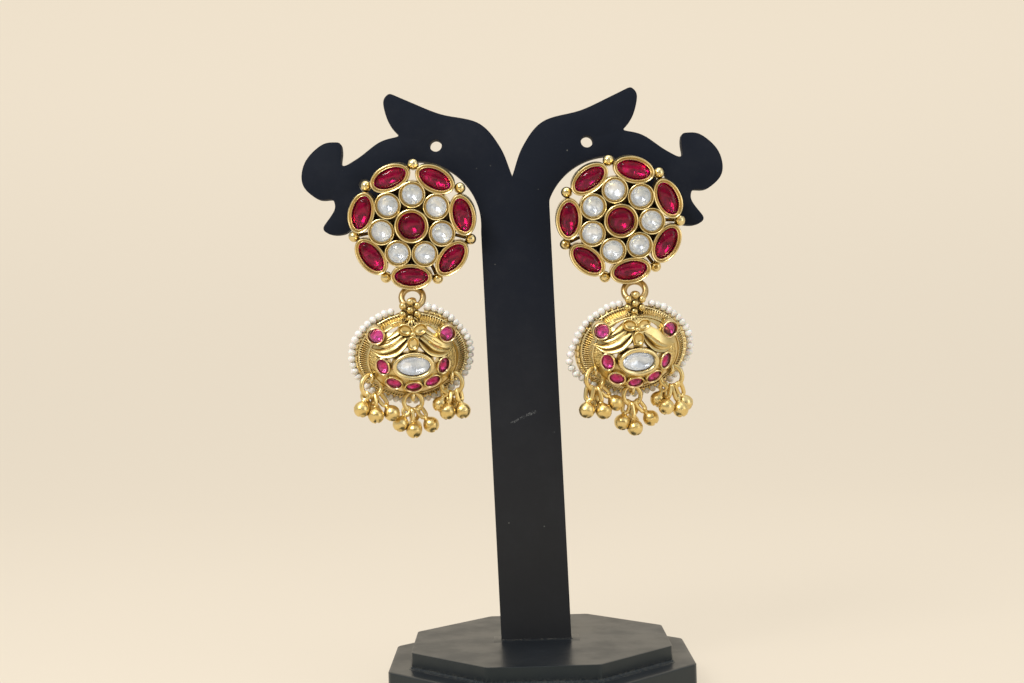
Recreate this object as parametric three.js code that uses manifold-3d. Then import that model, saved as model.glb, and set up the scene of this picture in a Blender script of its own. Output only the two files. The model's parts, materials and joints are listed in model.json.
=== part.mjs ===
// A pair of jhumka earrings hanging from the two crooks of a plain cut-out display stand.
// Millimetres, +Z up; the earrings face -Y. The origin is on the underside of the base,
// straight below the notch between the two heads of the stand.

import * as THREE from 'three';
import { mergeVertices } from 'three/addons/utils/BufferGeometryUtils.js';
import Module from 'manifold-3d';

const wasm = await Module();
wasm.setup();

// ---------------------------------------------------------------- driving dimensions

const GAP = 0.3;                       // clearance between pieces that touch

const BASE = { lowerApothem: 37, lowerHeight: 9, upperApothem: 31.5, top: 13, offsetX: 3.9 };

const BOARD = {
  thickness: 4,
  columnWidth: 17.4,
  notchHeight: 128.4,                  // above the surface the stand rests on
  footShift: 2.9,                      // the column leans: its foot is this far to the right
  tenon: 3.5,                          // depth of the foot inside the base
};

// Outline of the left head, X and Z from the notch. The right head is its mirror image.
const HEAD_CURVES = {
  brow: [[0, 0], [-2.8, 7.3], [-8, 13.4], [-17.5, 15.9], [-24.9, 19.1], [-30.1, 21.5]],
  crestBack: [[-30.1, 21.5], [-31.6, 19.3], [-30.3, 14], [-27.6, 10.7]],
  crown: [[-27.6, 10.7], [-32.6, 9.4], [-37.7, 5.8], [-41.4, 3.6]],
  knobRoot: [[-41.4, 3.6], [-42.6, 3.9], [-42.2, 7], [-42.4, 9.6]],
  knob: [[-42.4, 9.6], [-46.9, 9.2], [-51.4, 4.9], [-52.2, -0.6], [-48.6, -4.3], [-44.6, -4.4]],
  beak: [[-44.6, -4.4], [-44.3, -7.1], [-47.5, -11.6]],
  lip: [[-47.5, -11.6], [-46.9, -12.7], [-44.4, -13.4], [-41.7, -13.1]],
  jaw: [[-41.7, -13.1], [-34.2, -6.3], [-25.1, 4.43]],
};
const THROAT = { x: -24.3, z: -11.8, radius: 16.25, start: 93 };
const HEAD_STEP = 1.8;                 // spacing of the points along the curved outline
const HOLES = [
  { x: -18.8, z: 8.1, radius: 1.5 },   // the eye
  { x: -36.7, z: -1.2, radius: 1.5 },
];
const HOLE_SIDES = 14;

const STUD = {
  back: 2.4,                           // distance of the back of the stud in front of the board's middle
  backingRadius: 10.4,
  backingThickness: 1,
  backingSides: 24,
  petals: 7,
  crystalCircle: 7.6,
  ovalCircle: 12.65,
  ballCircle: 14.75,
  ballRadius: 1.3,
  tieCircle: 14,                       // thin wire ring that ties ovals and balls together
  tieWire: 0.45,
  bezelFoot: 0.3,
};
const BEZELS = {
  centre: { rx: 4.2, ry: 4.2, height: 4.9, wall: 0.75, seat: 3.1, sides: 14 },
  crystal: { rx: 3.3, ry: 3.3, height: 4.5, wall: 0.65, seat: 3, sides: 10 },
  oval: { rx: 5.1, ry: 3.15, height: 4.7, wall: 0.7, seat: 3, sides: 12 },
  domeCrystal: { rx: 5.2, ry: 3.6, height: 2.6, wall: 0.95, seat: 1.1, sides: 14 },
  domeRuby: { rx: 2.3, ry: 2.3, height: 3.2, wall: 0.42, seat: 2.1, sides: 9 },
  arcRuby: { rx: 2.2, ry: 1.75, height: 1.9, sides: 8 },
};
const STONE = {
  crown: 0.9,                          // how far the crown rises above the girdle
  below: 0.5,                          // how far the girdle ends below the lip of the cup
  shoulder: 0.72,                      // width of the crown's facet ring, as a share of the stone's
  shoulderRise: 0.7,                   // its height, as a share of the crown's
};

const LINK = { radius: 2.65, wire: 0.85, centre: 16.9, depth: 2.5, halfSweep: 125, steps: 12 };
const POST = { out: 6.8, up: 11.5, radius: 0.5, length: 7.6, hole: 0.85, sides: 8 };
const NUT = { radius: 3, thickness: 2.4, sides: 16 };

const SIDES = {
  left: { outward: -1, x: -24.7, z: 116, turn: -2.8, yaw: 10, throatEnd: -6 },
  right: { outward: 1, x: 26.4, z: 115.85, turn: 10.3, yaw: 14, throatEnd: 20 },
};

const DROP = {
  tilt: 17,                            // the face looks this far below level when it hangs
  hinge: 12.2,                         // height of the link's wire above the middle of the rim
  aspect: 0.813,                       // the rim is this much shorter than it is wide
  notchRadius: 1.25,                   // room for the link's wire in the top edge of the brim
  notchHalfLength: 5,
  pearlRadius: 0.85,
  pearlCircle: 14.9,
  pearlGap: 19,                        // degrees left bare each side of the top
  pearlSteps: 44,
  sides: 24,
};
// Section of the dome and brim: distance from the middle along the long axis, and height.
const DOME_OUTSIDE = [[13.5, -0.3], [13.5, 0.8], [11.9, 2.4], [9.6, 4.8], [5.6, 6.8], [0, 7.4]];
const DOME_INSIDE = [[0, 6.5], [5.2, 5.9], [9, 4], [12.6, -0.3]];

const EYE = { radius: 1.9, wire: 0.65 };
const ROSETTE = { up: 12.25, out: 2.4, circle: 2.05, ballRadius: 0.95, balls: 6 };
const ROSETTE_PLATE = { radius: 2.2, thickness: 0.7, sides: 8 };
const FLOWER_THICKNESS = 0.8;
const FLOWER = [
  { x: -2.1, up: 7.4, out: 5.2, rx: 2, ry: 1.5 },
  { x: 2.1, up: 7.4, out: 5.2, rx: 2, ry: 1.5 },
  { x: 0, up: 4.5, out: 6.7, rx: 1.2, ry: 1.9 },
  { x: 0, up: 6.6, out: 6.2, rx: 0.8, ry: 0.8 },
];
const DOME_CRYSTAL = { x: 0, up: -1.5, out: 6.2 };
const DOME_RUBIES = [{ name: 'inner', x: -1 }, { name: 'outer', x: 1 }];
const DOME_RUBY = { reach: 8.7, up: 5.8, out: 2.3 };
// Places of the five small bezels round the lower half of the dome, and how far each leans.
const ARC_BEZELS = [
  { x: -7.7, up: -1.5, out: 4.9, spin: 105, leanX: 0, leanY: -35 },
  { x: -5, up: -5.9, out: 4.3, spin: 150, leanX: 32, leanY: -22 },
  { x: 0, up: -7.3, out: 4.3, spin: 0, leanX: 40, leanY: 0 },
  { x: 5, up: -5.9, out: 4.3, spin: 30, leanX: 32, leanY: 22 },
  { x: 7.7, up: -1.5, out: 4.9, spin: 75, leanX: 0, leanY: 35 },
];

const LOOP = { radius: 1.05, wire: 0.35, steps: 8 };
const RING = { radius: 2.1, wire: 0.35, steps: 10 };
const GHUNGROO = { radius: 1.8, stem: 0.45, spread: 0.12, around: 7, rings: 5 };
// Loops under the dome. Each little bell's place is given from its loop: sideways, back and down.
const BUNCHES = [
  {
    name: 'west',
    x: -9.9,
    up: -5.2,
    out: 3.3,
    bells: [[-2.9, -0.6, 8.5], [0.8, -1.2, 9.9], [4.7, -0.2, 9.3], [0.4, 2.6, 8.6]],
  },
  {
    name: 'middle',
    x: 0,
    up: -10.6,
    out: 2.2,
    bells: [[-3.4, -0.4, 7.5], [0.2, -1, 9.2], [4.4, 0, 7.8], [0.4, 2.7, 8.4]],
  },
  {
    name: 'east',
    x: 9.9,
    up: -5.2,
    out: 3.3,
    bells: [[-3, 1.6, 7.2], [-1, -1.2, 9.4], [2.7, -0.4, 9.3], [1.2, 3, 8.2]],
  },
];

// ---------------------------------------------------------------- materials

const blackPaint = () => new THREE.MeshStandardMaterial({ color: 0x17191f, roughness: 0.6, metalness: 0 });
const antiqueGold = () => new THREE.MeshStandardMaterial({ color: 0xc9a552, roughness: 0.35, metalness: 1 });
const rubyGlass = () => new THREE.MeshStandardMaterial({ color: 0x9c0a33, roughness: 0.1, metalness: 0 });
const clearGlass = () => new THREE.MeshStandardMaterial({ color: 0xdcdcd6, roughness: 0.12, metalness: 0 });
const pearl = () => new THREE.MeshStandardMaterial({ color: 0xeeeae2, roughness: 0.3, metalness: 0 });

// ---------------------------------------------------------------- solids

const rad = THREE.MathUtils.degToRad;

// A closed geometry as a solid, with its shared corners welded and its faces turned outwards.
function solid(geometry) {
  const bare = geometry.clone();
  bare.deleteAttribute('normal');
  bare.deleteAttribute('uv');
  const welded = mergeVertices(bare, 1e-4);
  const corners = welded.index.array;
  const points = welded.attributes.position.array;
  const triangles = [];
  let volume = 0;
  for (let i = 0; i < corners.length; i += 3) {
    const [a, b, c] = [corners[i], corners[i + 1], corners[i + 2]];
    if (a === b || b === c || c === a) continue;
    triangles.push([a, b, c]);
    const [pa, pb, pc] = [a, b, c].map((k) => new THREE.Vector3().fromArray(points, 3 * k));
    volume += pa.dot(pb.cross(pc));
  }
  const outward = triangles.map(([a, b, c]) => (volume < 0 ? [a, c, b] : [a, b, c]));
  return new wasm.Manifold(new wasm.Mesh({
    numProp: 3,
    vertProperties: points,
    triVerts: new Uint32Array(outward.flat()),
  }));
}

function geometryOf(shape) {
  const { vertProperties, triVerts } = shape.getMesh();
  const geometry = new THREE.BufferGeometry();
  geometry.setAttribute('position', new THREE.BufferAttribute(vertProperties, 3));
  geometry.setIndex(new THREE.BufferAttribute(triVerts, 1));
  return geometry;
}

const joined = (shapes) => shapes.reduce((whole, shape) => whole.add(shape));

function mesh(name, shape, material) {
  const node = new THREE.Mesh(geometryOf(shape), material);
  node.name = name;
  return node;
}

// An upright oval disc standing on z = 0.
function disc(rx, ry, height, sides) {
  const geometry = new THREE.CylinderGeometry(1, 1, height, sides);
  geometry.rotateX(Math.PI / 2);
  geometry.scale(rx, ry, 1);
  geometry.translate(0, 0, height / 2);
  return geometry;
}

// A collet: an oval cup with a solid foot up to its seat and a plain wall round the stone.
function cup(bezel) {
  return solid(disc(bezel.rx, bezel.ry, bezel.height, bezel.sides)).subtract(cupRoom(bezel));
}

// The room for the stone in a cup, open upwards.
function cupRoom({ rx, ry, height, wall, seat, sides }) {
  return solid(disc(rx - wall, ry - wall, height, sides).translate(0, 0, seat));
}

// A stone with a flat back, a short girdle and a domed crown, sitting just clear of its cup.
function stone({ rx, ry, height, wall, seat, sides }) {
  const girdle = height - seat - GAP - STONE.below;
  const shoulder = girdle + STONE.shoulderRise * STONE.crown;
  const section = [[0, 0], [1, 0], [1, girdle], [STONE.shoulder, shoulder], [0, girdle + STONE.crown]];
  const geometry = new THREE.LatheGeometry(section.map(([r, h]) => new THREE.Vector2(r, h)), sides);
  geometry.rotateX(Math.PI / 2);
  geometry.scale(rx - wall - GAP, ry - wall - GAP, 1);
  geometry.translate(0, 0, seat + GAP);
  return solid(geometry);
}

function ball(radius, x, y, z, sides = 6, rings = 4) {
  return solid(new THREE.SphereGeometry(radius, sides, rings).rotateX(Math.PI / 2).translate(x, y, z));
}

// A round bar between two points.
function bar(radius, from, to, sides) {
  const along = new THREE.Vector3().subVectors(to, from);
  const geometry = new THREE.CylinderGeometry(radius, radius, along.length(), sides);
  const turn = new THREE.Quaternion().setFromUnitVectors(new THREE.Vector3(0, 1, 0), along.normalize());
  geometry.applyQuaternion(turn);
  const middle = new THREE.Vector3().addVectors(from, to).multiplyScalar(0.5);
  return solid(geometry.translate(middle.x, middle.y, middle.z));
}

// A ring of round wire about the X axis.
function sidewaysRing(radius, wire, x, y, z, steps = 12) {
  const geometry = new THREE.TorusGeometry(radius, wire, 5, steps);
  return solid(geometry.rotateY(Math.PI / 2).translate(x, y, z));
}

// The places of things set evenly round a circle, clockwise from the top.
function around(count, radius, offset) {
  return Array.from({ length: count }, (_, k) => {
    const angle = rad((360 / count) * (k + offset));
    return { angle, x: radius * Math.sin(angle), y: radius * Math.cos(angle) };
  });
}

// The six-sided section of a round wire.
function wireSection(radius) {
  return new THREE.Shape(around(6, radius, 0).map((p) => new THREE.Vector2(p.x, p.y)));
}

// ---------------------------------------------------------------- stand

function octagon(apothem, bottom, top) {
  const cornerRadius = apothem / Math.cos(Math.PI / 8);
  const geometry = new THREE.CylinderGeometry(cornerRadius, cornerRadius, top - bottom, 8);
  geometry.rotateY(Math.PI / 8);
  geometry.rotateX(Math.PI / 2);
  return geometry.translate(0, 0, (top + bottom) / 2);
}

function headOutline(throatEnd) {
  const points = [];
  for (const stretch of Object.values(HEAD_CURVES)) {
    const curve = new THREE.SplineCurve(stretch.map(([x, z]) => new THREE.Vector2(x, z)));
    const steps = Math.max(3, Math.round(curve.getLength() / HEAD_STEP));
    points.push(...curve.getSpacedPoints(steps).slice(0, -1));
  }
  const throat = new THREE.EllipseCurve(THROAT.x, THROAT.z, THROAT.radius, THROAT.radius,
    rad(THROAT.start), rad(throatEnd), true);
  points.push(...throat.getSpacedPoints(Math.round(throat.getLength() / HEAD_STEP)));
  return points;
}

function roundHole(x, z, radius) {
  return new THREE.Path(around(HOLE_SIDES, radius, 0).map((p) => new THREE.Vector2(x + p.x, z + p.y)));
}

function board() {
  const footZ = BASE.top - BOARD.tenon - BOARD.notchHeight;
  const left = headOutline(SIDES.left.throatEnd);
  const right = headOutline(SIDES.right.throatEnd).map((p) => new THREE.Vector2(-p.x, p.y)).reverse();
  const halfWidth = BOARD.columnWidth / 2;
  const foot = [-halfWidth, halfWidth].map((x) => new THREE.Vector2(BOARD.footShift + x, footZ));
  const shape = new THREE.Shape([...left, ...foot, ...right.slice(0, -1)]);
  for (const side of Object.values(SIDES)) {
    for (const hole of HOLES) shape.holes.push(roundHole(-side.outward * hole.x, hole.z, hole.radius));
    const post = { x: side.x + side.outward * POST.out, z: side.z + POST.up - BOARD.notchHeight };
    shape.holes.push(roundHole(post.x, post.z, POST.hole));
  }
  const geometry = new THREE.ExtrudeGeometry(shape, { depth: BOARD.thickness, bevelEnabled: false });
  geometry.rotateX(Math.PI / 2);
  geometry.translate(0, BOARD.thickness / 2, BOARD.notchHeight);
  return solid(geometry);
}

function stand() {
  const group = new THREE.Group();
  const lower = solid(octagon(BASE.lowerApothem, 0, BASE.lowerHeight));
  // The column leans, so its slot is a little wider than its foot.
  const slot = new THREE.BoxGeometry(BOARD.columnWidth + 4 * GAP, BOARD.thickness + 2 * GAP, BASE.top);
  slot.translate(BOARD.footShift - BASE.offsetX, 0, BASE.top);
  const upper = solid(octagon(BASE.upperApothem, BASE.lowerHeight + GAP, BASE.top)).subtract(solid(slot));
  const lowerMesh = mesh('base_lower', lower, blackPaint());
  const upperMesh = mesh('base_upper', upper, blackPaint());
  lowerMesh.position.x = BASE.offsetX;
  upperMesh.position.x = BASE.offsetX;
  group.add(lowerMesh, upperMesh, mesh('display_board', board(), blackPaint()));
  return group;
}

// ---------------------------------------------------------------- stud

// In the stud's own frame X is to the right, Y up and Z towards the viewer, from its flat back.
function placed(shape, { angle, x, y }, z) {
  return shape.rotate([0, 0, -THREE.MathUtils.radToDeg(angle)]).translate([x, y, z]);
}

function link() {
  const bend = new THREE.Curve();
  bend.getPoint = (t, target = new THREE.Vector3()) => {
    const angle = rad(-90 + LINK.halfSweep * (2 * t - 1));
    return target.set(LINK.radius * Math.cos(angle), LINK.radius * Math.sin(angle), 0);
  };
  const section = wireSection(LINK.wire);
  const geometry = new THREE.ExtrudeGeometry(section, { steps: LINK.steps, extrudePath: bend });
  return solid(geometry.translate(0, -LINK.centre, LINK.depth));
}

function studFrame(side) {
  const ovals = around(STUD.petals, STUD.ovalCircle, 0.5);
  const crystals = around(STUD.petals, STUD.crystalCircle, 0);
  const balls = around(STUD.petals, STUD.ballCircle, 0);
  const tie = new THREE.TorusGeometry(STUD.tieCircle, STUD.tieWire, 4, 14).translate(0, 0, STUD.tieWire);
  const post = unturned(side, { x: side.outward * POST.out, y: POST.up });
  const postRoot = new THREE.Vector3(post.x, post.y, STUD.backingThickness);
  const postTip = postRoot.clone().setZ(STUD.backingThickness - POST.length);
  return joined([
    solid(disc(STUD.backingRadius, STUD.backingRadius, STUD.backingThickness, STUD.backingSides)),
    cup(BEZELS.centre).translate([0, 0, STUD.bezelFoot]),
    ...crystals.map((place) => placed(cup(BEZELS.crystal), place, STUD.bezelFoot)),
    ...ovals.map((place) => placed(cup(BEZELS.oval), place, STUD.bezelFoot)),
    ...balls.map(({ x, y }) => ball(STUD.ballRadius, x, y, STUD.ballRadius)),
    solid(tie),
    link(),
    bar(POST.radius, postRoot, postTip, POST.sides),
  ]);
}

// A point given beside the stud on the board, seen in the frame of the turned stud.
function unturned(side, { x, y }) {
  const turned = new THREE.Vector2(x, y).rotateAround(new THREE.Vector2(), -rad(side.turn));
  return { x: turned.x, y: turned.y };
}

function stud(name, side) {
  const group = new THREE.Group();
  group.position.set(side.x, -STUD.back, side.z);
  group.rotation.set(Math.PI / 2, 0, rad(side.turn));
  group.add(mesh(`${name}_stud_frame`, studFrame(side), antiqueGold()));
  around(STUD.petals, STUD.ovalCircle, 0.5).forEach((place, k) => {
    const ruby = placed(stone(BEZELS.oval), place, STUD.bezelFoot);
    group.add(mesh(`${name}_ruby_${k + 1}`, ruby, rubyGlass()));
  });
  around(STUD.petals, STUD.crystalCircle, 0).forEach((place, k) => {
    const crystal = placed(stone(BEZELS.crystal), place, STUD.bezelFoot);
    group.add(mesh(`${name}_crystal_${k + 1}`, crystal, clearGlass()));
  });
  const centre = stone(BEZELS.centre).translate([0, 0, STUD.bezelFoot]);
  group.add(mesh(`${name}_ruby_centre`, centre, rubyGlass()));
  return group;
}

// The nut pushed on the post behind the board.
function postNut(name, side) {
  const hole = disc(POST.hole, POST.hole, 2 * NUT.thickness, NUT.sides);
  hole.translate(0, 0, -NUT.thickness / 2);
  const body = disc(NUT.radius, NUT.radius, NUT.thickness, NUT.sides);
  const nut = mesh(`${name}_post_nut`, solid(body).subtract(solid(hole)), antiqueGold());
  const front = BOARD.thickness / 2 + GAP;
  nut.position.set(side.x + side.outward * POST.out, front + NUT.thickness, side.z + POST.up);
  nut.rotation.x = Math.PI / 2;
  return nut;
}

// ---------------------------------------------------------------- drop

// In the frame of the drop's face X is to the right, Y up along the rim and Z out of the face,
// from the middle of the rim.
function domeShell() {
  const section = [...DOME_OUTSIDE, ...DOME_INSIDE].map(([r, h]) => new THREE.Vector2(r, h));
  const geometry = new THREE.LatheGeometry([...section, section[0]], DROP.sides);
  geometry.rotateX(Math.PI / 2);
  geometry.scale(1, DROP.aspect, 1);
  return solid(geometry);
}

function rosette() {
  const petals = around(ROSETTE.balls, ROSETTE.circle, 0);
  const { radius, thickness, sides } = ROSETTE_PLATE;
  const plate = disc(radius, radius, thickness, sides).translate(0, ROSETTE.up, ROSETTE.out - thickness);
  return [solid(plate), ...[{ x: 0, y: 0 }, ...petals].map(({ x, y }) => (
    ball(ROSETTE.ballRadius, x, ROSETTE.up + y, ROSETTE.out)))];
}

function flower() {
  return FLOWER.map(({ x, up, out, rx, ry }) => (
    solid(new THREE.SphereGeometry(1, 6, 3).scale(rx, ry, FLOWER_THICKNESS).translate(x, up, out))));
}

function arcBezel({ x, up, out, spin, leanX, leanY }) {
  const { rx, ry, height, sides } = BEZELS.arcRuby;
  const spun = solid(disc(rx, ry, height, sides)).rotate([0, 0, spin]);
  return spun.rotate([leanX, leanY, 0]).translate([x, up, out]);
}

function dome() {
  const crystalPlace = [DOME_CRYSTAL.x, DOME_CRYSTAL.up, DOME_CRYSTAL.out];
  const rubyPlaces = DOME_RUBIES.map(({ x }) => [x * DOME_RUBY.reach, DOME_RUBY.up, DOME_RUBY.out]);
  const [west, east] = [-1, 1].map((way) => new THREE.Vector3(way * DROP.notchHalfLength, DROP.hinge, 0));
  const wireRoom = bar(DROP.notchRadius, west, east, 10);
  const bossed = joined([
    domeShell(),
    cup(BEZELS.domeCrystal).translate(crystalPlace),
    ...rubyPlaces.map((place) => cup(BEZELS.domeRuby).translate(place)),
    ...ARC_BEZELS.map(arcBezel),
    ...flower(),
    ...BUNCHES.map((b) => sidewaysRing(LOOP.radius, LOOP.wire, b.x, b.up, b.out, LOOP.steps)),
  ]);
  const stoneRooms = joined([
    cupRoom(BEZELS.domeCrystal).translate(crystalPlace),
    ...rubyPlaces.map((place) => cupRoom(BEZELS.domeRuby).translate(place)),
  ]);
  const eye = sidewaysRing(EYE.radius, EYE.wire, 0, DROP.hinge, 0);
  return joined([bossed.subtract(wireRoom).subtract(stoneRooms), eye, ...rosette()]);
}

// The string of seed pearls along the edge of the brim, bare behind the rosette.
function pearlString() {
  const route = new THREE.Curve();
  route.getPoint = (t, target = new THREE.Vector3()) => {
    const angle = rad(DROP.pearlGap + (360 - 2 * DROP.pearlGap) * t);
    const up = DROP.aspect * DROP.pearlCircle;
    return target.set(DROP.pearlCircle * Math.sin(angle), up * Math.cos(angle), 0);
  };
  const section = wireSection(DROP.pearlRadius);
  return solid(new THREE.ExtrudeGeometry(section, { steps: DROP.pearlSteps, extrudePath: route }));
}

// A jump ring under its loop, facing forwards, with the little bells hung from the foot of the
// ring. The origin is the middle of the loop.
function ghungrooBunch({ bells }) {
  const ring = new THREE.TorusGeometry(RING.radius, RING.wire, 4, RING.steps);
  ring.rotateX(Math.PI / 2).translate(0, 0, -RING.radius);
  const hung = bells.flatMap(([x, y, down]) => {
    const foot = new THREE.Vector3(GHUNGROO.spread * x, 0, -2 * RING.radius);
    return [
      bar(GHUNGROO.stem, foot, new THREE.Vector3(x, y, -down), 5),
      ball(GHUNGROO.radius, x, y, -down, GHUNGROO.around, GHUNGROO.rings),
    ];
  });
  return joined([solid(ring), ...hung]);
}

function drop(name, side) {
  const hanging = new THREE.Group();
  const turn = rad(side.turn);
  const hinge = new THREE.Vector2(LINK.centre * Math.sin(turn), -LINK.centre * Math.cos(turn) - LINK.radius);
  hanging.position.set(side.x + hinge.x, -STUD.back - LINK.depth, side.z + hinge.y);
  hanging.rotation.z = rad(side.yaw);

  const face = new THREE.Group();
  face.rotation.x = Math.PI / 2 + rad(DROP.tilt);
  const rimCentre = new THREE.Vector3(0, -DROP.hinge, 0).applyEuler(face.rotation);
  face.position.copy(rimCentre);
  face.add(mesh(`${name}_dome`, dome(), antiqueGold()));
  face.add(mesh(`${name}_pearl_string`, pearlString(), pearl()));
  const crystal = stone(BEZELS.domeCrystal).translate([DOME_CRYSTAL.x, DOME_CRYSTAL.up, DOME_CRYSTAL.out]);
  face.add(mesh(`${name}_dome_crystal`, crystal, clearGlass()));
  for (const ruby of DOME_RUBIES) {
    const shape = stone(BEZELS.domeRuby).translate([ruby.x * DOME_RUBY.reach, DOME_RUBY.up, DOME_RUBY.out]);
    face.add(mesh(`${name}_dome_ruby_${ruby.name}`, shape, rubyGlass()));
  }
  hanging.add(face);

  for (const bunch of BUNCHES) {
    const node = mesh(`${name}_ghungroos_${bunch.name}`, ghungrooBunch(bunch), antiqueGold());
    const loop = new THREE.Vector3(bunch.x, bunch.up, bunch.out).applyEuler(face.rotation);
    node.position.copy(loop.add(rimCentre));
    hanging.add(node);
  }
  return hanging;
}

// ---------------------------------------------------------------- assembly

const jhumkaStand = new THREE.Group();
jhumkaStand.add(stand());
for (const [name, side] of Object.entries(SIDES)) {
  jhumkaStand.add(stud(name, side), postNut(name, side), drop(name, side));
}

export default jhumkaStand;
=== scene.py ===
import json
from math import asin, copysign, cos, exp, hypot, pi, radians, sin
from types import SimpleNamespace as Sizes

import bmesh
import bpy
import numpy as np
from mathutils import Matrix, Vector

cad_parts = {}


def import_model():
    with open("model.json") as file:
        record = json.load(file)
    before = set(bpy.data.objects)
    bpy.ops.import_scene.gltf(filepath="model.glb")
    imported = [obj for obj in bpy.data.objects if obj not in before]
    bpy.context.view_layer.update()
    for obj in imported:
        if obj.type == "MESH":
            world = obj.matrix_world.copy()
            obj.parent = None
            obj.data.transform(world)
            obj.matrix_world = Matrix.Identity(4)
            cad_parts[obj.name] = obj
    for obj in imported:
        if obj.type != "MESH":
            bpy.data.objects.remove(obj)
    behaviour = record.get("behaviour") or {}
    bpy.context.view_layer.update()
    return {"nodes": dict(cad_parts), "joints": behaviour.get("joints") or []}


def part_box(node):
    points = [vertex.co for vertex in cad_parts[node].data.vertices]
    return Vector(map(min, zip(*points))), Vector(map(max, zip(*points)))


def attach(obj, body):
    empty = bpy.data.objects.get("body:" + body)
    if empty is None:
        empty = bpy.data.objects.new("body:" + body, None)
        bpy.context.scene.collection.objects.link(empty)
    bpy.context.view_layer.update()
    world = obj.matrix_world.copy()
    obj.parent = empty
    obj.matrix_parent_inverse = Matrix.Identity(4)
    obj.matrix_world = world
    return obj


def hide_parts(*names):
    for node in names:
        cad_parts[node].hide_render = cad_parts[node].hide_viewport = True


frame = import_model()

MM = 0.001                      # the pieces are drawn in millimetres and placed in metres
SIDES = ("left", "right")

# ---- sizes, in millimetres and degrees

BOARD = Sizes(thickness=4, column=17.4, notch=128.4, foot_shift=2.9, foot=9.5, edge=0.45, corner=0.6)
# Outline of the left head, x and z from the notch, each curve from the end of the one before. The
# right head is its mirror image.
HEAD_CURVES = {
    "brow": [(-2.8, 7.3), (-8, 13.4), (-17.5, 15.9), (-24.9, 19.1), (-30.1, 21.5)],
    "crest_back": [(-31.6, 19.3), (-30.3, 14), (-27.6, 10.7)],
    "crown": [(-32.6, 9.4), (-37.7, 5.8), (-41.4, 3.6)],
    "knob_root": [(-42.6, 3.9), (-42.2, 7), (-42.4, 9.6)],
    "knob": [(-46.9, 9.2), (-51.4, 4.9), (-52.2, -0.6), (-48.6, -4.3), (-44.6, -4.4)],
    "beak": [(-44.3, -7.1), (-47.5, -11.6)],
    "lip": [(-46.9, -12.7), (-44.4, -13.4), (-41.7, -13.1)],
    "jaw": [(-34.2, -6.3), (-25.1, 4.43)],
}
HEAD_STEP = 0.45
THROAT = Sizes(x=-24.3, z=-11.8, radius=16.25, start=93, end={"left": -6, "right": 20})
BOARD_HOLES = [(-18.8, 8.1, 1.5), (-36.7, -1.2, 1.5)]
UPPER_PLATE = Sizes(apothem=31.5, x=3.9)
# Sections of the filled joints round the column and the upper plate: how far out, and how high.
FOOT_JOINT = [(-0.2, 11.9), (1.9, 11.9), (2, 12.99), (1.9, 13.02), (0.3, 13.1), (0, 13.35), (-0.2, 13.35)]
PLATE_JOINT = [(-0.4, 8.8), (0.55, 8.9), (0.5, 9.05), (0.16, 9.2), (0.04, 9.55), (-0.4, 9.55)]

STUD = Sizes(back=2.4, petals=7, crystal_circle=7.6, oval_circle=12.65, ball_circle=14.75, ball=1.38,
             tie_circle=14, tie_wire=0.4, tilt=10, across=-0.2, up=1.1, forward=1, plate=10.2, foot=0.3)
# The settings of the stud: the outline of each collet, its height and its wall.
OVAL = Sizes(rx=5.15, ry=3.3, height=4.7, wall=1.08)
CRYSTAL = Sizes(rx=3.32, ry=3.32, height=5.2, wall=0.86, steps=40)
CENTRE = Sizes(rx=4.25, ry=4.25, height=6.2, wall=1.08)
LONG_STRUTS = (2, 3, 5)
LINK = Sizes(radius=2.65, wire=0.8, centre=16.9, depth=2.5, lean=26)
POST = Sizes(out=6.8, up=11.5, radius=0.5, length=7.6)
NUT = Sizes(radius=3, thickness=2.4)

DROP = Sizes(tilt=17, yaw={"left": 10, "right": 14}, hinge=12.2, aspect=0.813)
EYE = Sizes(radius=1.9, thick=0.55, wide=0.95)
ROSETTE = Sizes(up=12.25, out=2.4, circle=2.05, ball=0.95)
# Height of the dome's outside above the plane of the rim, by distance from the middle.
DOME_SECTION = [(0, 7.4), (2.8, 7.25), (5.6, 6.75), (8, 5.8), (9.6, 4.75), (11.4, 3)]
DOME_WALL = 0.5
BRIM = Sizes(inner=11, outer=13.5, inner_up=3.45, outer_up=0.75, flutes=118, depth=0.3, wall=0.5)
# Across the brim: the share of its width, the share of a flute's depth, and the height of a line.
BRIM_SECTION = [(0, 0, 0.1), (0.05, 0, 0.3), (0.1, 0, 0.34), (0.15, 0, 0.2), (0.21, 1, 0), (0.4, 1, 0),
                (0.6, 1, 0), (0.82, 1, 0), (0.88, 0.2, 0.06), (0.94, 0, 0.12), (1, 0, 0.08)]
PEARLS = Sizes(circle=14.72, radius=0.9, pitch=1.64, first={"left": (14, 21), "right": (17, 16)})
# Where the string of pearls has slipped outwards: its middle and half width, in degrees clockwise
# from the top, and how far.
SLACK = {"left": [(17, 16, 0.9), (268, 36, 0.3)], "right": [(252, 19, 1.7), (85, 36, 0.6)]}
# The flanges each side of the top of the brim: how far round it, and how broad.
FLANGES = [(10.5, 1.6), (15, 1.4)]

# The raised parts of the dome sit this far to the side of the middle of its rim, and above it.
OFF_CENTRE = {"left": (-0.5, 0), "right": (-0.85, -0.5)}
# Openings cut through the dome, each by its corners on the right half of the face.
OPENINGS = [
    [(1.6, 9.0), (3.2, 8.75), (4.7, 8.05), (6.2, 6.85), (5.3, 6.75), (4.1, 7.3), (2.8, 7.95)],
    [(1.4, 4.0), (2.9, 2.7), (0.9, 2.35)],
    [(4.8, 1.8), (6.4, 1.0), (5.5, -0.5)],
]
# The openings under the five small rubies: middle, half sizes and turn.
SMALL_SEATS = [(-7.2, -1.1, 1.2, 1.7, 12), (7.6, -1.1, 1.2, 1.7, -12), (-4.5, -5.1, 1.6, 1.15, -25),
               (4.9, -5.1, 1.6, 1.15, 25), (0.2, -6.2, 1.6, 1, 0)]

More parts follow.
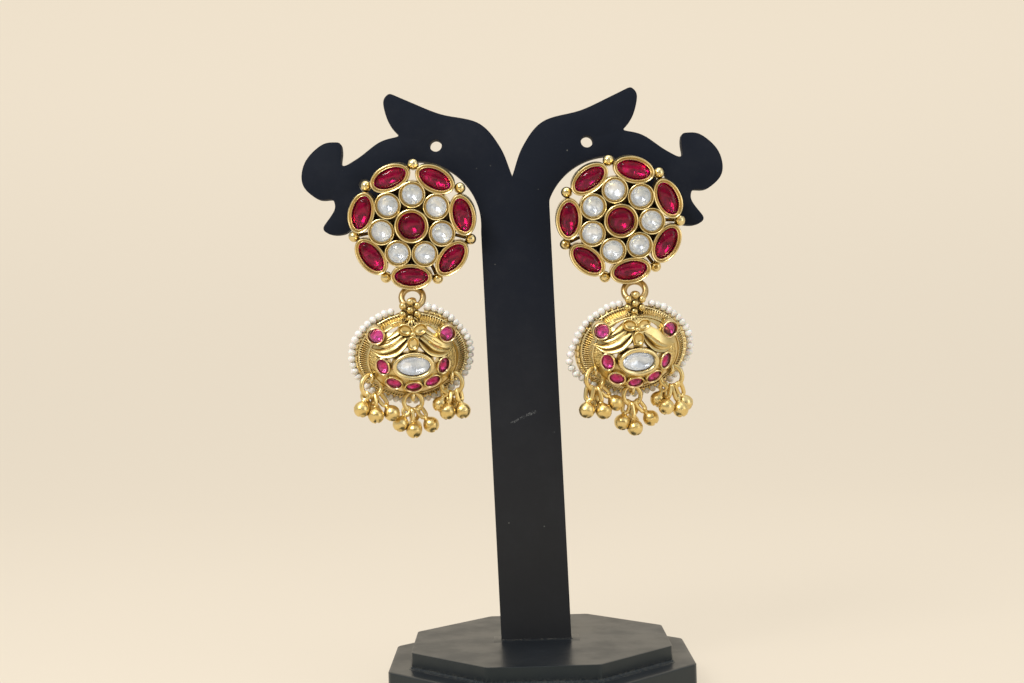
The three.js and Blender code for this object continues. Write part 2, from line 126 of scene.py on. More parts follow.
# Cross-sections of the leaves: (across, height), from one edge to the other.
DOUBLE_LEAF = [(-1, 0), (-0.86, 0.5), (-0.66, 0.92), (-0.44, 0.86), (-0.22, 0.36), (-0.06, 0.22),
               (0.1, 0.5), (0.34, 1), (0.6, 0.95), (0.84, 0.5), (1, 0)]
PLAIN_LEAF = [(-1, 0), (-0.8, 0.55), (-0.45, 0.95), (0, 1), (0.45, 0.95), (0.8, 0.55), (1, 0)]
# The big leaf, the upper leaf, the one in its shade, and the bar beside the rim: the line on the
# right half of the face, half width and height along it, cross-section, and height of its back.
LEAVES = [
    ([(1.5, 6.0), (2.9, 4.6), (4.9, 3.0), (7.6, 2.2), (10.6, 3.0)],
     [(0, 0.7), (0.25, 1.45), (0.5, 1.65), (0.75, 1.2), (1, 0.05)],
     [(0, 1.1), (0.4, 1.45), (0.8, 0.95), (1, 0.1)], DOUBLE_LEAF, -0.35),
    ([(1.1, 8.2), (2.7, 7.75), (4.4, 6.7), (6.4, 5.4)], [(0, 0.2), (0.3, 0.55), (0.65, 0.5), (1, 0.12)],
     [(0, 0.5), (0.5, 0.65), (1, 0.25)], PLAIN_LEAF, -0.4),
    ([(2.6, 6.6), (4.2, 5.3), (6.2, 4.2), (8.2, 3.8)], [(0, 0.35), (0.4, 0.75), (0.75, 0.55), (1, 0.08)],
     [(0, 0.35), (0.5, 0.45), (1, 0.15)], PLAIN_LEAF, -0.3),
    ([(1.2, 9.3), (3.1, 9.0), (4.9, 8.35), (6.7, 7.2)], [(0, 0.3), (0.4, 0.45), (0.75, 0.5), (1, 0.4)],
     [(0, 0.5), (0.5, 0.55), (1, 0.4)], PLAIN_LEAF, -0.5),
]
PETAL = [(0.02, -0.25), (0.35, -0.2), (0.6, -0.02), (0.72, 0.2), (0.78, 0.44), (0.86, 0.6), (0.95, 0.56),
         (1, 0.4), (1, 0.18), (0.9, -0.25), (0.5, -0.5), (0.02, -0.55)]
# Petals of the flower: place on the face, half sizes, turn, and how each leans about x and y.
FLOWER = [(-1.8, 8.05, 1.95, 1.5, -14, -4, -10), (1.65, 8.15, 1.95, 1.5, 20, -4, 10),
          (-0.15, 5.35, 1.5, 1.85, 0, 6, 0)]
# Slim leaves between the rosette and the flower: foot, tip and thickness.
SPRAY = [((-0.35, 10.5), (-1.7, 9.3), 0.36), ((0.35, 10.5), (1.6, 9.3), 0.36),
         ((0, 10.6), (-0.1, 8.4), 0.44), ((-0.2, 10.4), (-0.9, 8.7), 0.32),
         ((0.2, 10.4), (0.7, 8.7), 0.32)]

# The settings of the drop, as the arguments of collet, closing_plate, cabochon and foil_cup.
WHITE_SETTING = {"collet": (5.2, 3.6, 2.8, 1.15, 56), "plate": (4.6, 3.0, 0.02, 0.14),
                 "stone": (3.98, 2.4, 1.55, 1.05, 0.6), "foil": (4.07, 2.47, 1.25, 1.0)}
ROUND_SETTING = {"collet": (2.3, 2.3, 3.3, 0.58, 36), "plate": (2.0, 2.0, 0.9, 0.3),
                 "stone": (1.68, 1.68, 2.45, 0.7, 0.5), "foil": (1.73, 1.73, 2.15, 0.75)}
SMALL_SETTING = {"collet": (2.4, 1.95, 2.0, 0.56, 32), "plate": (2.15, 1.7, 0.06, 0.26),
                 "stone": (1.8, 1.35, 1.35, 0.6, 0.4), "foil": (1.87, 1.42, 1.1, 0.6)}
WHITE_STONE = (0, -0.5, 6.2)
ROUND_STONES = {"inner": (-8.65, 6.5, 2.2), "outer": (8.3, 6.6, 2.2)}
ROUND_LEAN = 7
# The small rubies: place on the face, turn, and how each leans about x and y.
ARC_STONES = [(-6.75, -0.8, 5.1, 105, 4, -24), (-4.25, -4.75, 4.7, 155, 20, -14),
              (0.3, -5.75, 4.6, 0, 27, 0), (4.6, -4.5, 4.7, 25, 20, 14), (6.95, -0.8, 5.1, 75, 4, 24)]

# Each bell: across, forward (negative), down from the loop, and the twist of its wire.
BUNCHES = [
    {"name": "west", "x": -10.4, "y": -5.2, "out": 3.3, "ring": 2.75, "ring_turn": 24,
     "left": [(-2.6, -0.6, 7.7, 25), (0.8, -1.2, 9.3, 70), (4.8, -0.2, 8.9, -30), (0.4, 2.6, 8.2, 10)],
     "right": [(-2.4, -0.6, 9.5, 25), (1.7, -1.2, 9.9, 70), (5.2, -0.2, 8.0, -30), (0.8, 2.6, 8.4, 10)]},
    {"name": "middle", "x": 0, "y": -10.6, "out": 2.2, "ring": 2.3, "ring_turn": 4,
     "left": [(-3.3, -0.4, 6.9, 20), (0, -1, 8.6, 78), (4.4, 0, 7.4, -25), (0.4, 2.7, 8.0, 5)],
     "right": [(-2.9, -0.4, 8.1, 20), (0.2, -1, 9.6, 78), (4.8, 0, 7.4, -25), (0.6, 2.7, 8.4, 5)]},
    {"name": "east", "x": 9.5, "y": -5.2, "out": 3.3, "ring": 2.7, "ring_turn": -22,
     "left": [(-2.8, 1.6, 7.2, 30), (-1.4, -1.2, 9.0, 75), (2.5, -0.4, 8.9, -40), (1.2, 3, 8.0, 0)],
     "right": [(-2.9, 1.9, 7.6, 30), (-2.0, -1.4, 9.4, 75), (2.1, -0.4, 10.2, -40), (4.1, 1.6, 8.7, 0)]},
]
BUNCH_LIFT = 0.5
BELL = Sizes(radius=2, ring_wire=0.58, loop_wire=0.54, loop_half=0.92, neck=1.32)
# A pear-shaped bell from its foot to its neck: radius and height as shares of the ball's radius.
BELL_SECTION = [(0.03, -1.02), (0.3, -0.97), (0.6, -0.82), (0.84, -0.56), (0.975, -0.22), (1, -0.06),
                (1.03, -0.03), (1.03, 0.03), (1, 0.06), (0.97, 0.26), (0.86, 0.52), (0.68, 0.74),
                (0.46, 0.92), (0.34, 1.04), (0.32, 1.18), (0.24, 1.28), (0.03, 1.3)]


def rotation(axis, degrees):
    return Matrix.Rotation(radians(degrees), 4, axis)


def shift(x, y, z):
    return Matrix.Translation((x, y, z))


# ---- materials

class Nodes:
    """Short ways to add shader nodes to a tree."""

    def __init__(self, tree):
        self.tree = tree

    def put(self, socket, value):
        if isinstance(value, bpy.types.NodeSocket):
            self.tree.links.new(value, socket)
        elif socket.type == "RGBA":
            socket.default_value = (*value, 1)
        else:
            socket.default_value = value

    def node(self, kind, inputs=None, **settings):
        """A node with its settings, and its inputs linked or set."""
        made = self.tree.nodes.new("ShaderNode" + kind)
        for key, value in settings.items():
            setattr(made, key, value)
        for key, value in (inputs or {}).items():
            self.put(made.inputs[key], value)
        return made

    def math(self, operation, *values):
        return self.node("Math", dict(enumerate(values)), operation=operation).outputs[0]

    def vector(self, operation, output, *values):
        return self.node("VectorMath", dict(enumerate(values)), operation=operation).outputs[output]

    def ramp(self, value, low, high, start=0.0, end=1.0):
        """value spread from low..high to start..end, and held outside them."""
        inputs = {"Value": value, "From Min": low, "From Max": high, "To Min": start, "To Max": end}
        return self.node("MapRange", inputs, interpolation_type="SMOOTHSTEP").outputs["Result"]

    def mix(self, factor, first, second):
        return self.node("Mix", {0: factor, 6: first, 7: second}, data_type="RGBA").outputs[2]


class Look(Nodes):
    """A material with a Principled shader and its slot, and its textures in object space."""

    def __init__(self, name, slot, **inputs):
        self.material = bpy.data.materials.new(name)
        self.material.use_nodes = True
        super().__init__(self.material.node_tree)
        self.shader = self.tree.nodes["Principled BSDF"]
        self.place = self.node("TexCoord").outputs["Object"]
        self.slot = slot
        self.shade(**inputs)

    def shade(self, **inputs):
        """Set or link the shader's inputs, by their names in small letters."""
        for key, value in inputs.items():
            name = key.replace("_", " ").title().replace("Ior", "IOR")
            self.put(self.shader.inputs[name], value)

    def noise(self, scale, detail=3, roughness=0.55, distortion=0.0):
        made = self.node("TexNoise", {"Vector": self.place, "Scale": scale, "Detail": detail,
                                      "Roughness": roughness, "Distortion": distortion})
        return made.outputs["Fac"]

    def cells(self, scale, randomness=1.0):
        inputs = {"Vector": self.place, "Scale": scale, "Randomness": randomness}
        return self.node("TexVoronoi", inputs).outputs["Distance"]

    def openness(self, distance, samples):
        """1 where the surface is open, less in its recesses."""
        return self.node("AmbientOcclusion", {"Distance": distance}, samples=samples).outputs["AO"]

    def height(self):
        return self.node("SeparateXYZ", {0: self.place}).outputs["Z"]

    def bump(self, height, distance, strength=1.0):
        made = self.node("Bump", {"Height": height, "Distance": distance, "Strength": strength})
        self.shade(normal=made.outputs["Normal"])


def gold(name, light, deep, patina_and_shade, gloss, recess, grain, slot="antique_gold"):
    """Gold plate: darker and duller in its recesses, with a fine cast grain. The dark of the recesses is
    partly antique oxide and partly painted shade between the parts.
    """
    look = Look(name, slot, metallic=1.0)
    tone = look.ramp(look.noise(300), 0.3, 0.72)
    open_share = look.ramp(look.openness(recess, 12), 0.18, 0.82)
    plate = look.mix(tone, deep, light)
    worn = look.ramp(look.noise(500), 0.3, 0.75, gloss, gloss + 0.1)
    dull = look.math("ADD", worn, look.ramp(open_share, 0, 1, 0.26, 0))
    # The recesses take a darker colour: antique oxide, and also painted shade where parts meet.
    look.shade(base_color=look.mix(open_share, patina_and_shade, plate), roughness=dull)
    look.bump(look.noise(1200, 2), 0.00003, grain)
    return look


def stippled_gold(name):
    """The matt, punched gold of the crescents each side of the dome."""
    look = Look(name, "antique_gold", metallic=1.0)
    pits = look.math("ADD", look.cells(1700, 0.9), look.noise(1500, 2, distortion=1.5))
    tone = look.ramp(pits, 0.5, 0.95)
    look.shade(base_color=look.mix(tone, (0.16, 0.09, 0.025), (0.74, 0.56, 0.22)),
               roughness=look.ramp(pits, 0.5, 1, 0.55, 0.36))
    look.bump(pits, 0.0002)
    return look


def stone_glass(name, slot, colour, variation, mottle, ior):
    """Clear coloured glass, faintly uneven inside."""
    look = Look(name, slot, roughness=0.03, ior=ior, transmission_weight=1.0)
    cloud = look.ramp(look.noise(mottle, distortion=0.6), 0.3, 0.7)
    look.shade(base_color=look.mix(cloud, variation, colour))
    look.bump(look.noise(260, 2), 0.00005, 0.25)
    return look


def foil(name, slot, light, deep, metal, crumple, glow=0.0):
    """Crinkled foil under a stone. A little glow stands for the light gathered by the stone."""
    folds = 420
    look = Look(name, slot, metallic=metal, roughness=0.28, emission_strength=glow, emission_color=light)
    fold = look.noise(folds * 0.8, distortion=1.2)
    look.shade(base_color=look.mix(look.ramp(fold, 0.32, 0.68), deep, light))
    look.bump(look.math("ADD", look.cells(folds), fold), 0.00035, crumple)
    return look


def pearl_shell(name):
    look = Look(name, "seed_pearl", roughness=0.24, coat_weight=0.45, coat_roughness=0.12,
                subsurface_weight=0.12, subsurface_scale=0.0006, ior=1.5)
    tone = look.ramp(look.noise(620, 2), 0.35, 0.65)
    look.shade(base_color=look.mix(tone, (0.76, 0.73, 0.66), (0.88, 0.87, 0.84)))
    look.bump(look.noise(1500), 0.00004, 0.35)
    return look


def black_paint(name, gloss, specular, low, high, settled, scratches=()):
    """Sprayed black paint: a fine orange peel, cloudy bloom, specks, scratches, and dust lying in the
    corners.
    Its colour is graded from low to high up the stand; on the board that is painted shade, darker towards
    the top."""
    look = Look(name, "black_paint", specular_ior_level=specular)
    # Colour graded from low to high up the stand: on the board, painted shade that darkens its top.
    paint = look.mix(look.ramp(look.height(), 0.03, 0.12), low, high)
    bloom = look.ramp(look.noise(55, 5, 0.7), 0.42, 0.78, 0, 0.14)
    fine = look.ramp(look.noise(2600, 2), 0.66, 0.8, 0, 0.5)
    rare = look.ramp(look.noise(140, 1), 0.6, 0.66)
    speck = look.math("MULTIPLY", look.ramp(look.cells(330), 0.035, 0.075, 1, 0), rare)
    grains = look.ramp(look.noise(1300, 3, 0.7), 0.42, 0.62)
    corner = look.ramp(look.openness(0.0022, 6), 0.45, 0.8, settled, 0)
    dust = look.math("MULTIPLY", corner, grains)
    layers = [(bloom, (0.045, 0.047, 0.052)), (fine, (0.03, 0.031, 0.034)), (speck, (0.11, 0.11, 0.1)),
              (dust, (0.13, 0.12, 0.095))]
    layers += [(scratch(look, *line), (0.12, 0.125, 0.125)) for line in scratches]
    for share, colour in layers:
        paint = look.mix(share, paint, colour)
    smear = look.ramp(look.noise(90, 4, 0.6), 0.35, 0.7, gloss, gloss + 0.1)
    look.shade(base_color=paint, roughness=smear)
    look.bump(look.noise(1100), 0.00002, 0.5)
    return look


def scratch(look, start, end, width):
    """1 along a broken scratch across the board, on both its faces, between two (x, z) points."""
    (xa, za), (xb, zb) = start, end
    width *= MM
    long = hypot(xb - xa, zb - za)
    along = ((xb - xa) / long, 0, (zb - za) / long)
    across = (-along[2], 0, along[0])
    off = look.vector("SUBTRACT", 0, look.place, (xa * MM, 0, za * MM))
    reach = look.vector("DOT_PRODUCT", "Value", off, along)
    aside = look.vector("DOT_PRODUCT", "Value", off, across)
    wander = look.ramp(look.noise(260, 2), 0.3, 0.7, -0.35 * width, 0.35 * width)
    aside = look.math("ABSOLUTE", look.math("ADD", aside, wander))
    mark = look.ramp(aside, 0.2 * width, 0.5 * width, 1, 0)
    starts, ends = look.ramp(reach, 0, 0.3 * MM), look.ramp(reach, (long - 0.6) * MM, long * MM, 1, 0)
    for part in (starts, ends, look.ramp(look.noise(2400, 3, 0.7), 0.47, 0.62)):
        mark = look.math("MULTIPLY", mark, part)
    return mark


# The fourth colour of each gold darkens its recesses: antique oxide and painted shade.
ANTIQUE = gold("antique_gold", (0.85, 0.70, 0.37), (0.76, 0.60, 0.28), (0.20, 0.11, 0.03),
               gloss=0.2, recess=0.0005, grain=0.06)
RELIEF = gold("relief_gold", (0.80, 0.63, 0.29), (0.68, 0.51, 0.20), (0.16, 0.09, 0.028),
              gloss=0.25, recess=0.0012, grain=0.25)
DARK_GOLD = gold("oxidised_gold", (0.52, 0.38, 0.18), (0.34, 0.22, 0.09), (0.05, 0.026, 0.012),
                 gloss=0.34, recess=0.0012, grain=0.8)
LINK_GOLD = gold("link_gold", (0.60, 0.44, 0.20), (0.40, 0.27, 0.11), (0.10, 0.05, 0.02),
                 gloss=0.3, recess=0.0012, grain=1.0)
BRIGHT = gold("bright_gold", (0.85, 0.67, 0.31), (0.75, 0.55, 0.20), (0.24, 0.12, 0.025),
              gloss=0.28, recess=0.0007, grain=0.25, slot="bright_gold")
STIPPLED = stippled_gold("stippled_gold")
RUBY = stone_glass("ruby_glass", "ruby_glass", (0.70, 0.005, 0.33), (0.52, 0.003, 0.22), 180, 1.4)
PINK = stone_glass("pink_ruby_glass", "ruby_glass", (0.93, 0.28, 0.62), (0.80, 0.14, 0.44), 260, 1.42)
ROSE = stone_glass("rose_ruby_glass", "ruby_glass", (0.94, 0.36, 0.72), (0.84, 0.20, 0.52), 420, 1.45)
CLEAR = stone_glass("kundan_glass", "clear_glass", (0.99, 0.99, 0.99), (0.93, 0.95, 0.96), 300, 1.5)
RED_FOIL = foil("red_foil", "ruby_glass", (1.0, 0.45, 0.62), (0.5, 0.1, 0.25), 0.7, 0.8)
ROSE_FOIL = foil("rose_foil", "ruby_glass", (1.0, 0.66, 0.86), (0.62, 0.22, 0.42), 0.6, 0.8, glow=0.1)
SILVER_FOIL = foil("silver_foil", "clear_glass", (1.0, 1.0, 1.0), (0.55, 0.6, 0.66), 0.5, 0.9, glow=0.19)
PEARL = pearl_shell("seed_pearl")
SCRATCHES = [((-2.1, 66.9), (4.4, 70.2), 0.95), ((8.1, 64.6), (8.9, 64.8), 0.5)]
# The board's paint is darker towards its top: painted shade.
BOARD_PAINT = black_paint("board_paint", 0.6, 0.12, (0.020, 0.020, 0.0205), (0.006, 0.0085, 0.0155),
                          settled=0, scratches=SCRATCHES)
BASE_PAINT = black_paint("base_paint", 0.3, 0.405, (0.0115, 0.0135, 0.0165), (0.0115, 0.0135, 0.0165),
                         settled=0.85)
BASE_PAINT.shade(specular_tint=(0.82, 1, 1))

# ---- shapes

def loft(sections, loop=False):
    """Closed cross-sections joined one to the next, with flat ends unless it closes on itself."""
    sections = np.asarray(sections, float)
    rows, columns = sections.shape[:2]
    faces = []
    for i in range(rows if loop else rows - 1):
        here, there = i * columns, (i + 1) % rows * columns
        for j in range(columns):
            k = (j + 1) % columns
            faces.append((here + j, here + k, there + k, there + j))
    if not loop:
        faces.append(tuple(range(columns)))
        faces.append(tuple(range((rows - 1) * columns, rows * columns)))
    return sections.reshape(-1, 3), faces


def together(parts):
    """Several shapes as one list of points and faces."""
    points, faces, first = [], [], 0
    for some_points, some_faces in parts:
        points.append(np.asarray(some_points, float))
        faces += [tuple(first + k for k in face) for face in some_faces]
        first += len(some_points)
    return np.vstack(points), faces


def moved(shape, matrix):
    points, faces = shape
    turn = np.array(matrix)[:3]
    return points @ turn[:, :3].T + turn[:, 3], faces


def copies(shape, places):
    return [moved(shape, place) for place in places]


def angles(count, start=0.0):
    return start + np.arange(count) * 2 * pi / count


def ring(radius, height, turn, rx=1.0, ry=1.0):
    """Points round the z axis at the angles in turn, with one radius and height or one for each."""
    return np.stack([rx * radius * np.cos(turn), ry * radius * np.sin(turn), height + 0 * turn], 1)


def turned(section, sides=32, rx=1.0, ry=1.0):
    """An oval turning: (radius, height) pairs from the axis to the axis, the first and last capped."""
    return loft([ring(radius, height, angles(sides), rx, ry) for radius, height in section])


def ball(radius, centre=(0, 0, 0), squash=1.0, sides=20, rings=12):
    lift = np.linspace(-pi / 2, pi / 2, rings + 1)
    lift[0], lift[-1] = -1.5, 1.5
    shape = turned([(radius * cos(a), radius * squash * sin(a)) for a in lift], sides)
    return moved(shape, shift(*centre))


def spline(points, steps, loop=False):
    """A Catmull-Rom curve through the points, with that many steps between each two."""
    p = [np.asarray(q, float) for q in points]
    if loop:
        p = [p[-1], *p, p[0], p[1]]
    else:
        p = [2 * p[0] - p[1], *p, 2 * p[-1] - p[-2]]
    curve = []
    for a, b, c, d in zip(p, p[1:], p[2:], p[3:]):
        for t in np.arange(steps) / steps:
            curve.append(0.5 * (2 * b + (c - a) * t + (2 * a - 5 * b + 4 * c - d) * t ** 2
                                + (3 * b - a - 3 * c + d) * t ** 3))
    return np.array(curve if loop else [*curve, p[-2]])


def lengths_along(line):
    """The length of a line of points up to each of them."""
    return np.concatenate([[0], np.cumsum(np.linalg.norm(np.diff(line, axis=0), axis=1))])


def even_steps(line, step):
    """Points an even distance apart along a line, about one to a step, without its last point."""
    reach = lengths_along(line)
    along = np.linspace(0, reach[-1], max(4, round(reach[-1] / step)) + 1)[:-1]
    return np.stack([np.interp(along, reach, values) for values in line.T], 1)


def tube(path, radius, sides=10, loop=False, flat=1.0, side_hint=(0, 0, 1)):
    """Round or flattened wire along a path. radius may be one number or one for each point."""
    path = np.asarray(path, float)
    radii = np.broadcast_to(np.asarray(radius, float), len(path))
    ahead = np.roll(path, -1, 0) - np.roll(path, 1, 0)
    if not loop:
        ahead[0], ahead[-1] = path[1] - path[0], path[-1] - path[-2]
    ahead /= np.linalg.norm(ahead, axis=1, keepdims=True)
    across = np.asarray(side_hint, float)
    turn = angles(sides)
    rings = []
    for point, way, thick in zip(path, ahead, radii):
        across = across - way * across.dot(way)
        across /= np.linalg.norm(across)
        up = np.cross(way, across)
        rings.append(point + (np.outer(np.cos(turn), across) * flat + np.outer(np.sin(turn), up)) * thick)
    return loft(rings, loop)


def circle_path(radius, steps, plane="xy"):
    turn = angles(steps)
    a, b, zero = radius * np.cos(turn), radius * np.sin(turn), np.zeros(steps)
    return np.stack({"xy": (a, b, zero), "xz": (a, zero, b), "yz": (zero, a, b)}[plane], 1)


def scene_object(name, data):
    made = bpy.data.objects.new(name, data)
    bpy.context.scene.collection.objects.link(made)
    return made


def piece(name, shape, matrix, look, body, replaces=(), smooth=35.0):
    """A finished piece of the object from a shape in millimetres."""
    points, faces = moved(shape, matrix)
    mesh = bpy.data.meshes.new(name)
    mesh.from_pydata((points * MM).tolist(), [], faces)
    work = bmesh.new()
    work.from_mesh(mesh)
    bmesh.ops.recalc_face_normals(work, faces=work.faces)
    sharp = radians(smooth)
    for edge in work.edges:
        edge.smooth = len(edge.link_faces) == 2 and edge.calc_face_angle() < sharp
    for face in work.faces:
        face.smooth = smooth > 0
    work.to_mesh(mesh)
    work.free()
    mesh.materials.append(look.material)
    made = scene_object(name, mesh)
    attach(made, body)
    if replaces:
        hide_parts(*replaces)


def piece_maker(side, body, place):
    """A shorter piece() for one body of an earring: names without the side, and a list of shapes."""
    def add(name, shapes, look, replaces=(), smooth=35.0, matrix=place):
        nodes = [f"{side}_{cad}" for cad in replaces]
        piece(f"{side}_{name}", together(shapes), matrix, look, body, nodes, smooth)
    return add


# ---- stand

def board_outline():
    """The cut edge of the board, clockwise from the notch down the left, with its sharp corners."""
    head, start = [], (0, 0)
    for curve in HEAD_CURVES.values():
        head.append(even_steps(spline([start, *curve], 12), HEAD_STEP))
        start = curve[-1]
    halves = {}
    for side in SIDES:
        sweep = np.radians(np.linspace(THROAT.start, THROAT.end[side], 60))
        throat = np.stack([np.cos(sweep), np.sin(sweep)], 1) * THROAT.radius
        halves[side] = np.vstack([*head, throat + (THROAT.x, THROAT.z)])
    right = halves["right"][:0:-1] * (-1, 1)
    foot_z = BOARD.foot - BOARD.notch
    foot = [(BOARD.foot_shift + way * BOARD.column / 2, foot_z) for way in (-1, 1)]
    return np.vstack([halves["left"], foot, right])


def softened(outline):
    """The outline with its corners rounded a little, all but the notch between the heads."""
    even = even_steps(np.vstack([outline, outline[:1]]), HEAD_STEP)
    spread = np.arange(-8, 9)
    weights = np.exp(-0.5 * (spread * HEAD_STEP / BOARD.corner) ** 2)
    soft = sum(weight * np.roll(even, k, 0) for k, weight in zip(spread, weights)) / weights.sum()
    kept_sharp = 3
    share = np.clip(np.linalg.norm(even - outline[0], axis=1) / kept_sharp, 0, 1)[:, None]
    return even * (1 - share) + soft * share


def board():
    """The board with its holes, and its edges rounded."""
    work = bmesh.new()
    loops = [softened(board_outline())]
    for x, z, radius in BOARD_HOLES:
        loops += [ring(radius, 0, angles(40))[:, :2] + (way * x, z) for way in (1, -1)]
    edges = []
    for line in loops:
        corners = [work.verts.new((x, 0, z)) for x, z in line]
        edges += [work.edges.new((a, b)) for a, b in zip(corners, corners[1:] + corners[:1])]
    bmesh.ops.triangle_fill(work, edges=edges, use_beauty=True, use_dissolve=False)
    bmesh.ops.recalc_face_normals(work, faces=work.faces)
    made = bmesh.ops.extrude_face_region(work, geom=work.faces[:])
    top = [v for v in made["geom"] if isinstance(v, bmesh.types.BMVert)]
    bmesh.ops.translate(work, verts=top, vec=(0, BOARD.thickness, 0))
    bmesh.ops.translate(work, verts=work.verts, vec=(0, -BOARD.thickness / 2, BOARD.notch))
    bmesh.ops.recalc_face_normals(work, faces=work.faces)
    square, level = 1.2, 0.01
    rims = [e for e in work.edges if len(e.link_faces) == 2 and e.calc_face_angle() > square
            and abs(e.verts[0].co.y - e.verts[1].co.y) < level]
    bmesh.ops.bevel(work, geom=rims, offset=BOARD.edge, segments=3, profile=0.5, affect="EDGES",
                    clamp_overlap=True)
    points = np.array([v.co for v in work.verts])
    faces = [tuple(v.index for v in f.verts) for f in work.faces]
    work.free()
    return points, faces


def column_outline(out):
    """The corners of the column, seen from above, grown by out."""
    half_x, half_y = BOARD.column / 2 + out, BOARD.thickness / 2 + out
    return [(half_x, -half_y), (half_x, half_y), (-half_x, half_y), (-half_x, -half_y)]


def plate_outline(out):
    """The corners of the upper plate, seen from above, grown by out."""
    reach = (UPPER_PLATE.apothem + out) / cos(pi / 8)
    return [(reach * cos(a), reach * sin(a)) for a in angles(8, pi / 8)]


def joint_fillet(outline, section, centre):
    """Paint filling a joint round an outline."""
    return loft([[(centre + x, y, up) for x, y in outline(out)] for out, up in section], loop=True)


def base_plate(name, edge):
    """A plate of the base: the solid itself, painted, with its edges rounded."""
    block = frame["nodes"][name]
    block.data.materials.clear()
    block.data.materials.append(BASE_PAINT.material)
    block.modifiers.new("joined", "WELD").merge_threshold = 0.00001
    rounded = block.modifiers.new("soft_edges", "BEVEL")
    rounded.width = edge
    rounded.segments = 4
    rounded.limit_method = "ANGLE"
    rounded.angle_limit = radians(35)
    rounded.use_clamp_overlap = True
    for face in block.data.polygons:
        face.use_smooth = True
    block.modifiers.new("flat_faces", "WEIGHTED_NORMAL").keep_sharp = False


def stand():
    upright = Matrix.Identity(4)
    piece("stand_board", board(), upright, BOARD_PAINT, "stand", ["display_board"], 40)
    foot = joint_fillet(column_outline, FOOT_JOINT, BOARD.foot_shift)
    piece("foot_joint", foot, upright, BASE_PAINT, "stand", smooth=50)
    joint = joint_fillet(plate_outline, PLATE_JOINT, UPPER_PLATE.x)
    piece("plate_joint", joint, upright, BASE_PAINT, "stand", smooth=40)
    base_plate("base_lower", 0.0009)
    base_plate("base_upper", 0.0007)


# ---- settings and stones

# Section of the collets, a rolled lip and a lower one inside it: offset from the outline as a
# share of the wall, and height as a share of the whole.
COLLET = [(-0.5, 0), (-0.1, 0.01), (0, 0.05), (0, 0.88), (-0.04, 0.95), (-0.12, 0.99), (-0.23, 1),
          (-0.35, 0.985), (-0.44, 0.94), (-0.5, 0.895), (-0.58, 0.88), (-0.7, 0.895), (-0.82, 0.905),
          (-0.92, 0.885), (-0.98, 0.84), (-1, 0.76), (-1, 0.3), (-0.98, 0.02)]
# Section of the small collets of the drop, with one rounded lip.
SMALL_COLLET = [(-0.5, 0), (-0.1, 0.01), (0, 0.05), (0, 0.8), (-0.06, 0.9), (-0.2, 0.97), (-0.42, 1),
                (-0.65, 0.98), (-0.85, 0.92), (-0.97, 0.84), (-1, 0.72), (-1, 0.3), (-0.98, 0.02)]


def collet(rx, ry, height, wall, steps=48, section=COLLET):
    """A bezel: a tube of oval outline whose lip is rolled over."""
    turn = angles(steps)
    edge = np.stack([rx * np.cos(turn), ry * np.sin(turn)], 1)
    away = np.stack([ry * np.cos(turn), rx * np.sin(turn)], 1)
    away *= wall / np.linalg.norm(away, axis=1, keepdims=True)
    return loft([[(*(point + way * offset), height * up) for offset, up in section]
                 for point, way in zip(edge, away)], loop=True)


def foil_cup(rx, ry, rim, depth):
    """A dished foil with a little thickness, under the stone."""
    top = [(share, rim - depth * (1 - share ** 1.6)) for share in (0.02, 0.2, 0.4, 0.6, 0.8, 1.0)]
    under = [(share, height - 0.15) for share, height in reversed(top)]
    return turned(top + under, 40, rx, ry)


def closing_plate(rx, ry, foot, thick=0.3):
    """The sheet that closes the back of a setting."""
    section = [(0.02, foot), (0.96, foot), (1, foot + 0.06), (1, foot + thick), (0.02, foot + thick)]
    return turned(section, 36, rx, ry)


def cabochon(rx, ry, girdle, crown, back):
    """A polished dome with a straight girdle and a shallow cone behind."""
    dome = [(cos(a), girdle + crown * sin(a)) for a in np.linspace(0, 1.52, 11)]
    behind = [(0.03, girdle - 0.45 - back), (0.5, girdle - 0.45 - back * 0.55), (0.95, girdle - 0.5),
              (1.0, girdle - 0.4)]
    return turned(behind + dome, 44, rx, ry)


def cut_stone(radius, crown, back, sides, start):
    """A round stone with two rows of flat facets up to a table and a faceted cone behind."""
    turn = pi / sides
    rows = [(0.05, -0.4 - back, 0), (0.55, -0.4 - back * 0.5, turn), (1.0, -0.35, 0), (1.0, 0, 0),
            (0.76, crown * 0.6, turn), (0.42, crown * 0.95, 0), (0.2, crown, turn)]
    points, quads = loft([ring(radius * share, height, angles(sides, start + extra))
                          for share, height, extra in rows])
    faces = []
    for face in quads:
        flat = len(face) != 4
        faces += [face] if flat else [face[:3], (face[0], *face[2:])]
    return points, faces


def petal_places(radius, offset=0.0):
    """Matrices for the things set round the stud, clockwise from the top, their long axis along it."""
    step = -360 / STUD.petals
    return [rotation("Z", step * (k + offset)) @ shift(0, radius, 0) for k in range(STUD.petals)]


# ---- stud

def hinge(side):
    """The point on the axis of the swing, in millimetres."""
    joint = next(j for j in frame["joints"] if j["name"] == f"{side}_swing")
    return [c / MM for c in joint["pos_m"]]


def node_box(name):
    """The low and high corners of a node of the solids, in millimetres."""
    low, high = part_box(name)
    return low / MM, high / MM


def stud_matrix(side, tilt=0.0):
    """From the frame of the stud's face (x right, y up, z to the front) to the row frame."""
    low, high = node_box(f"{side}_ruby_centre")
    centre = (low + high) / 2
    turn = asin((hinge(side)[0] - centre.x) / LINK.centre)
    face = rotation("X", 90 + tilt) @ Matrix.Rotation(turn, 4, "Z")
    upright = shift(centre.x, -STUD.back, centre.z) @ face
    # Hung from its post, the stud leans back at its foot, into the opening of the board.
    return shift(STUD.across, -STUD.forward, STUD.up) @ upright if tilt else upright


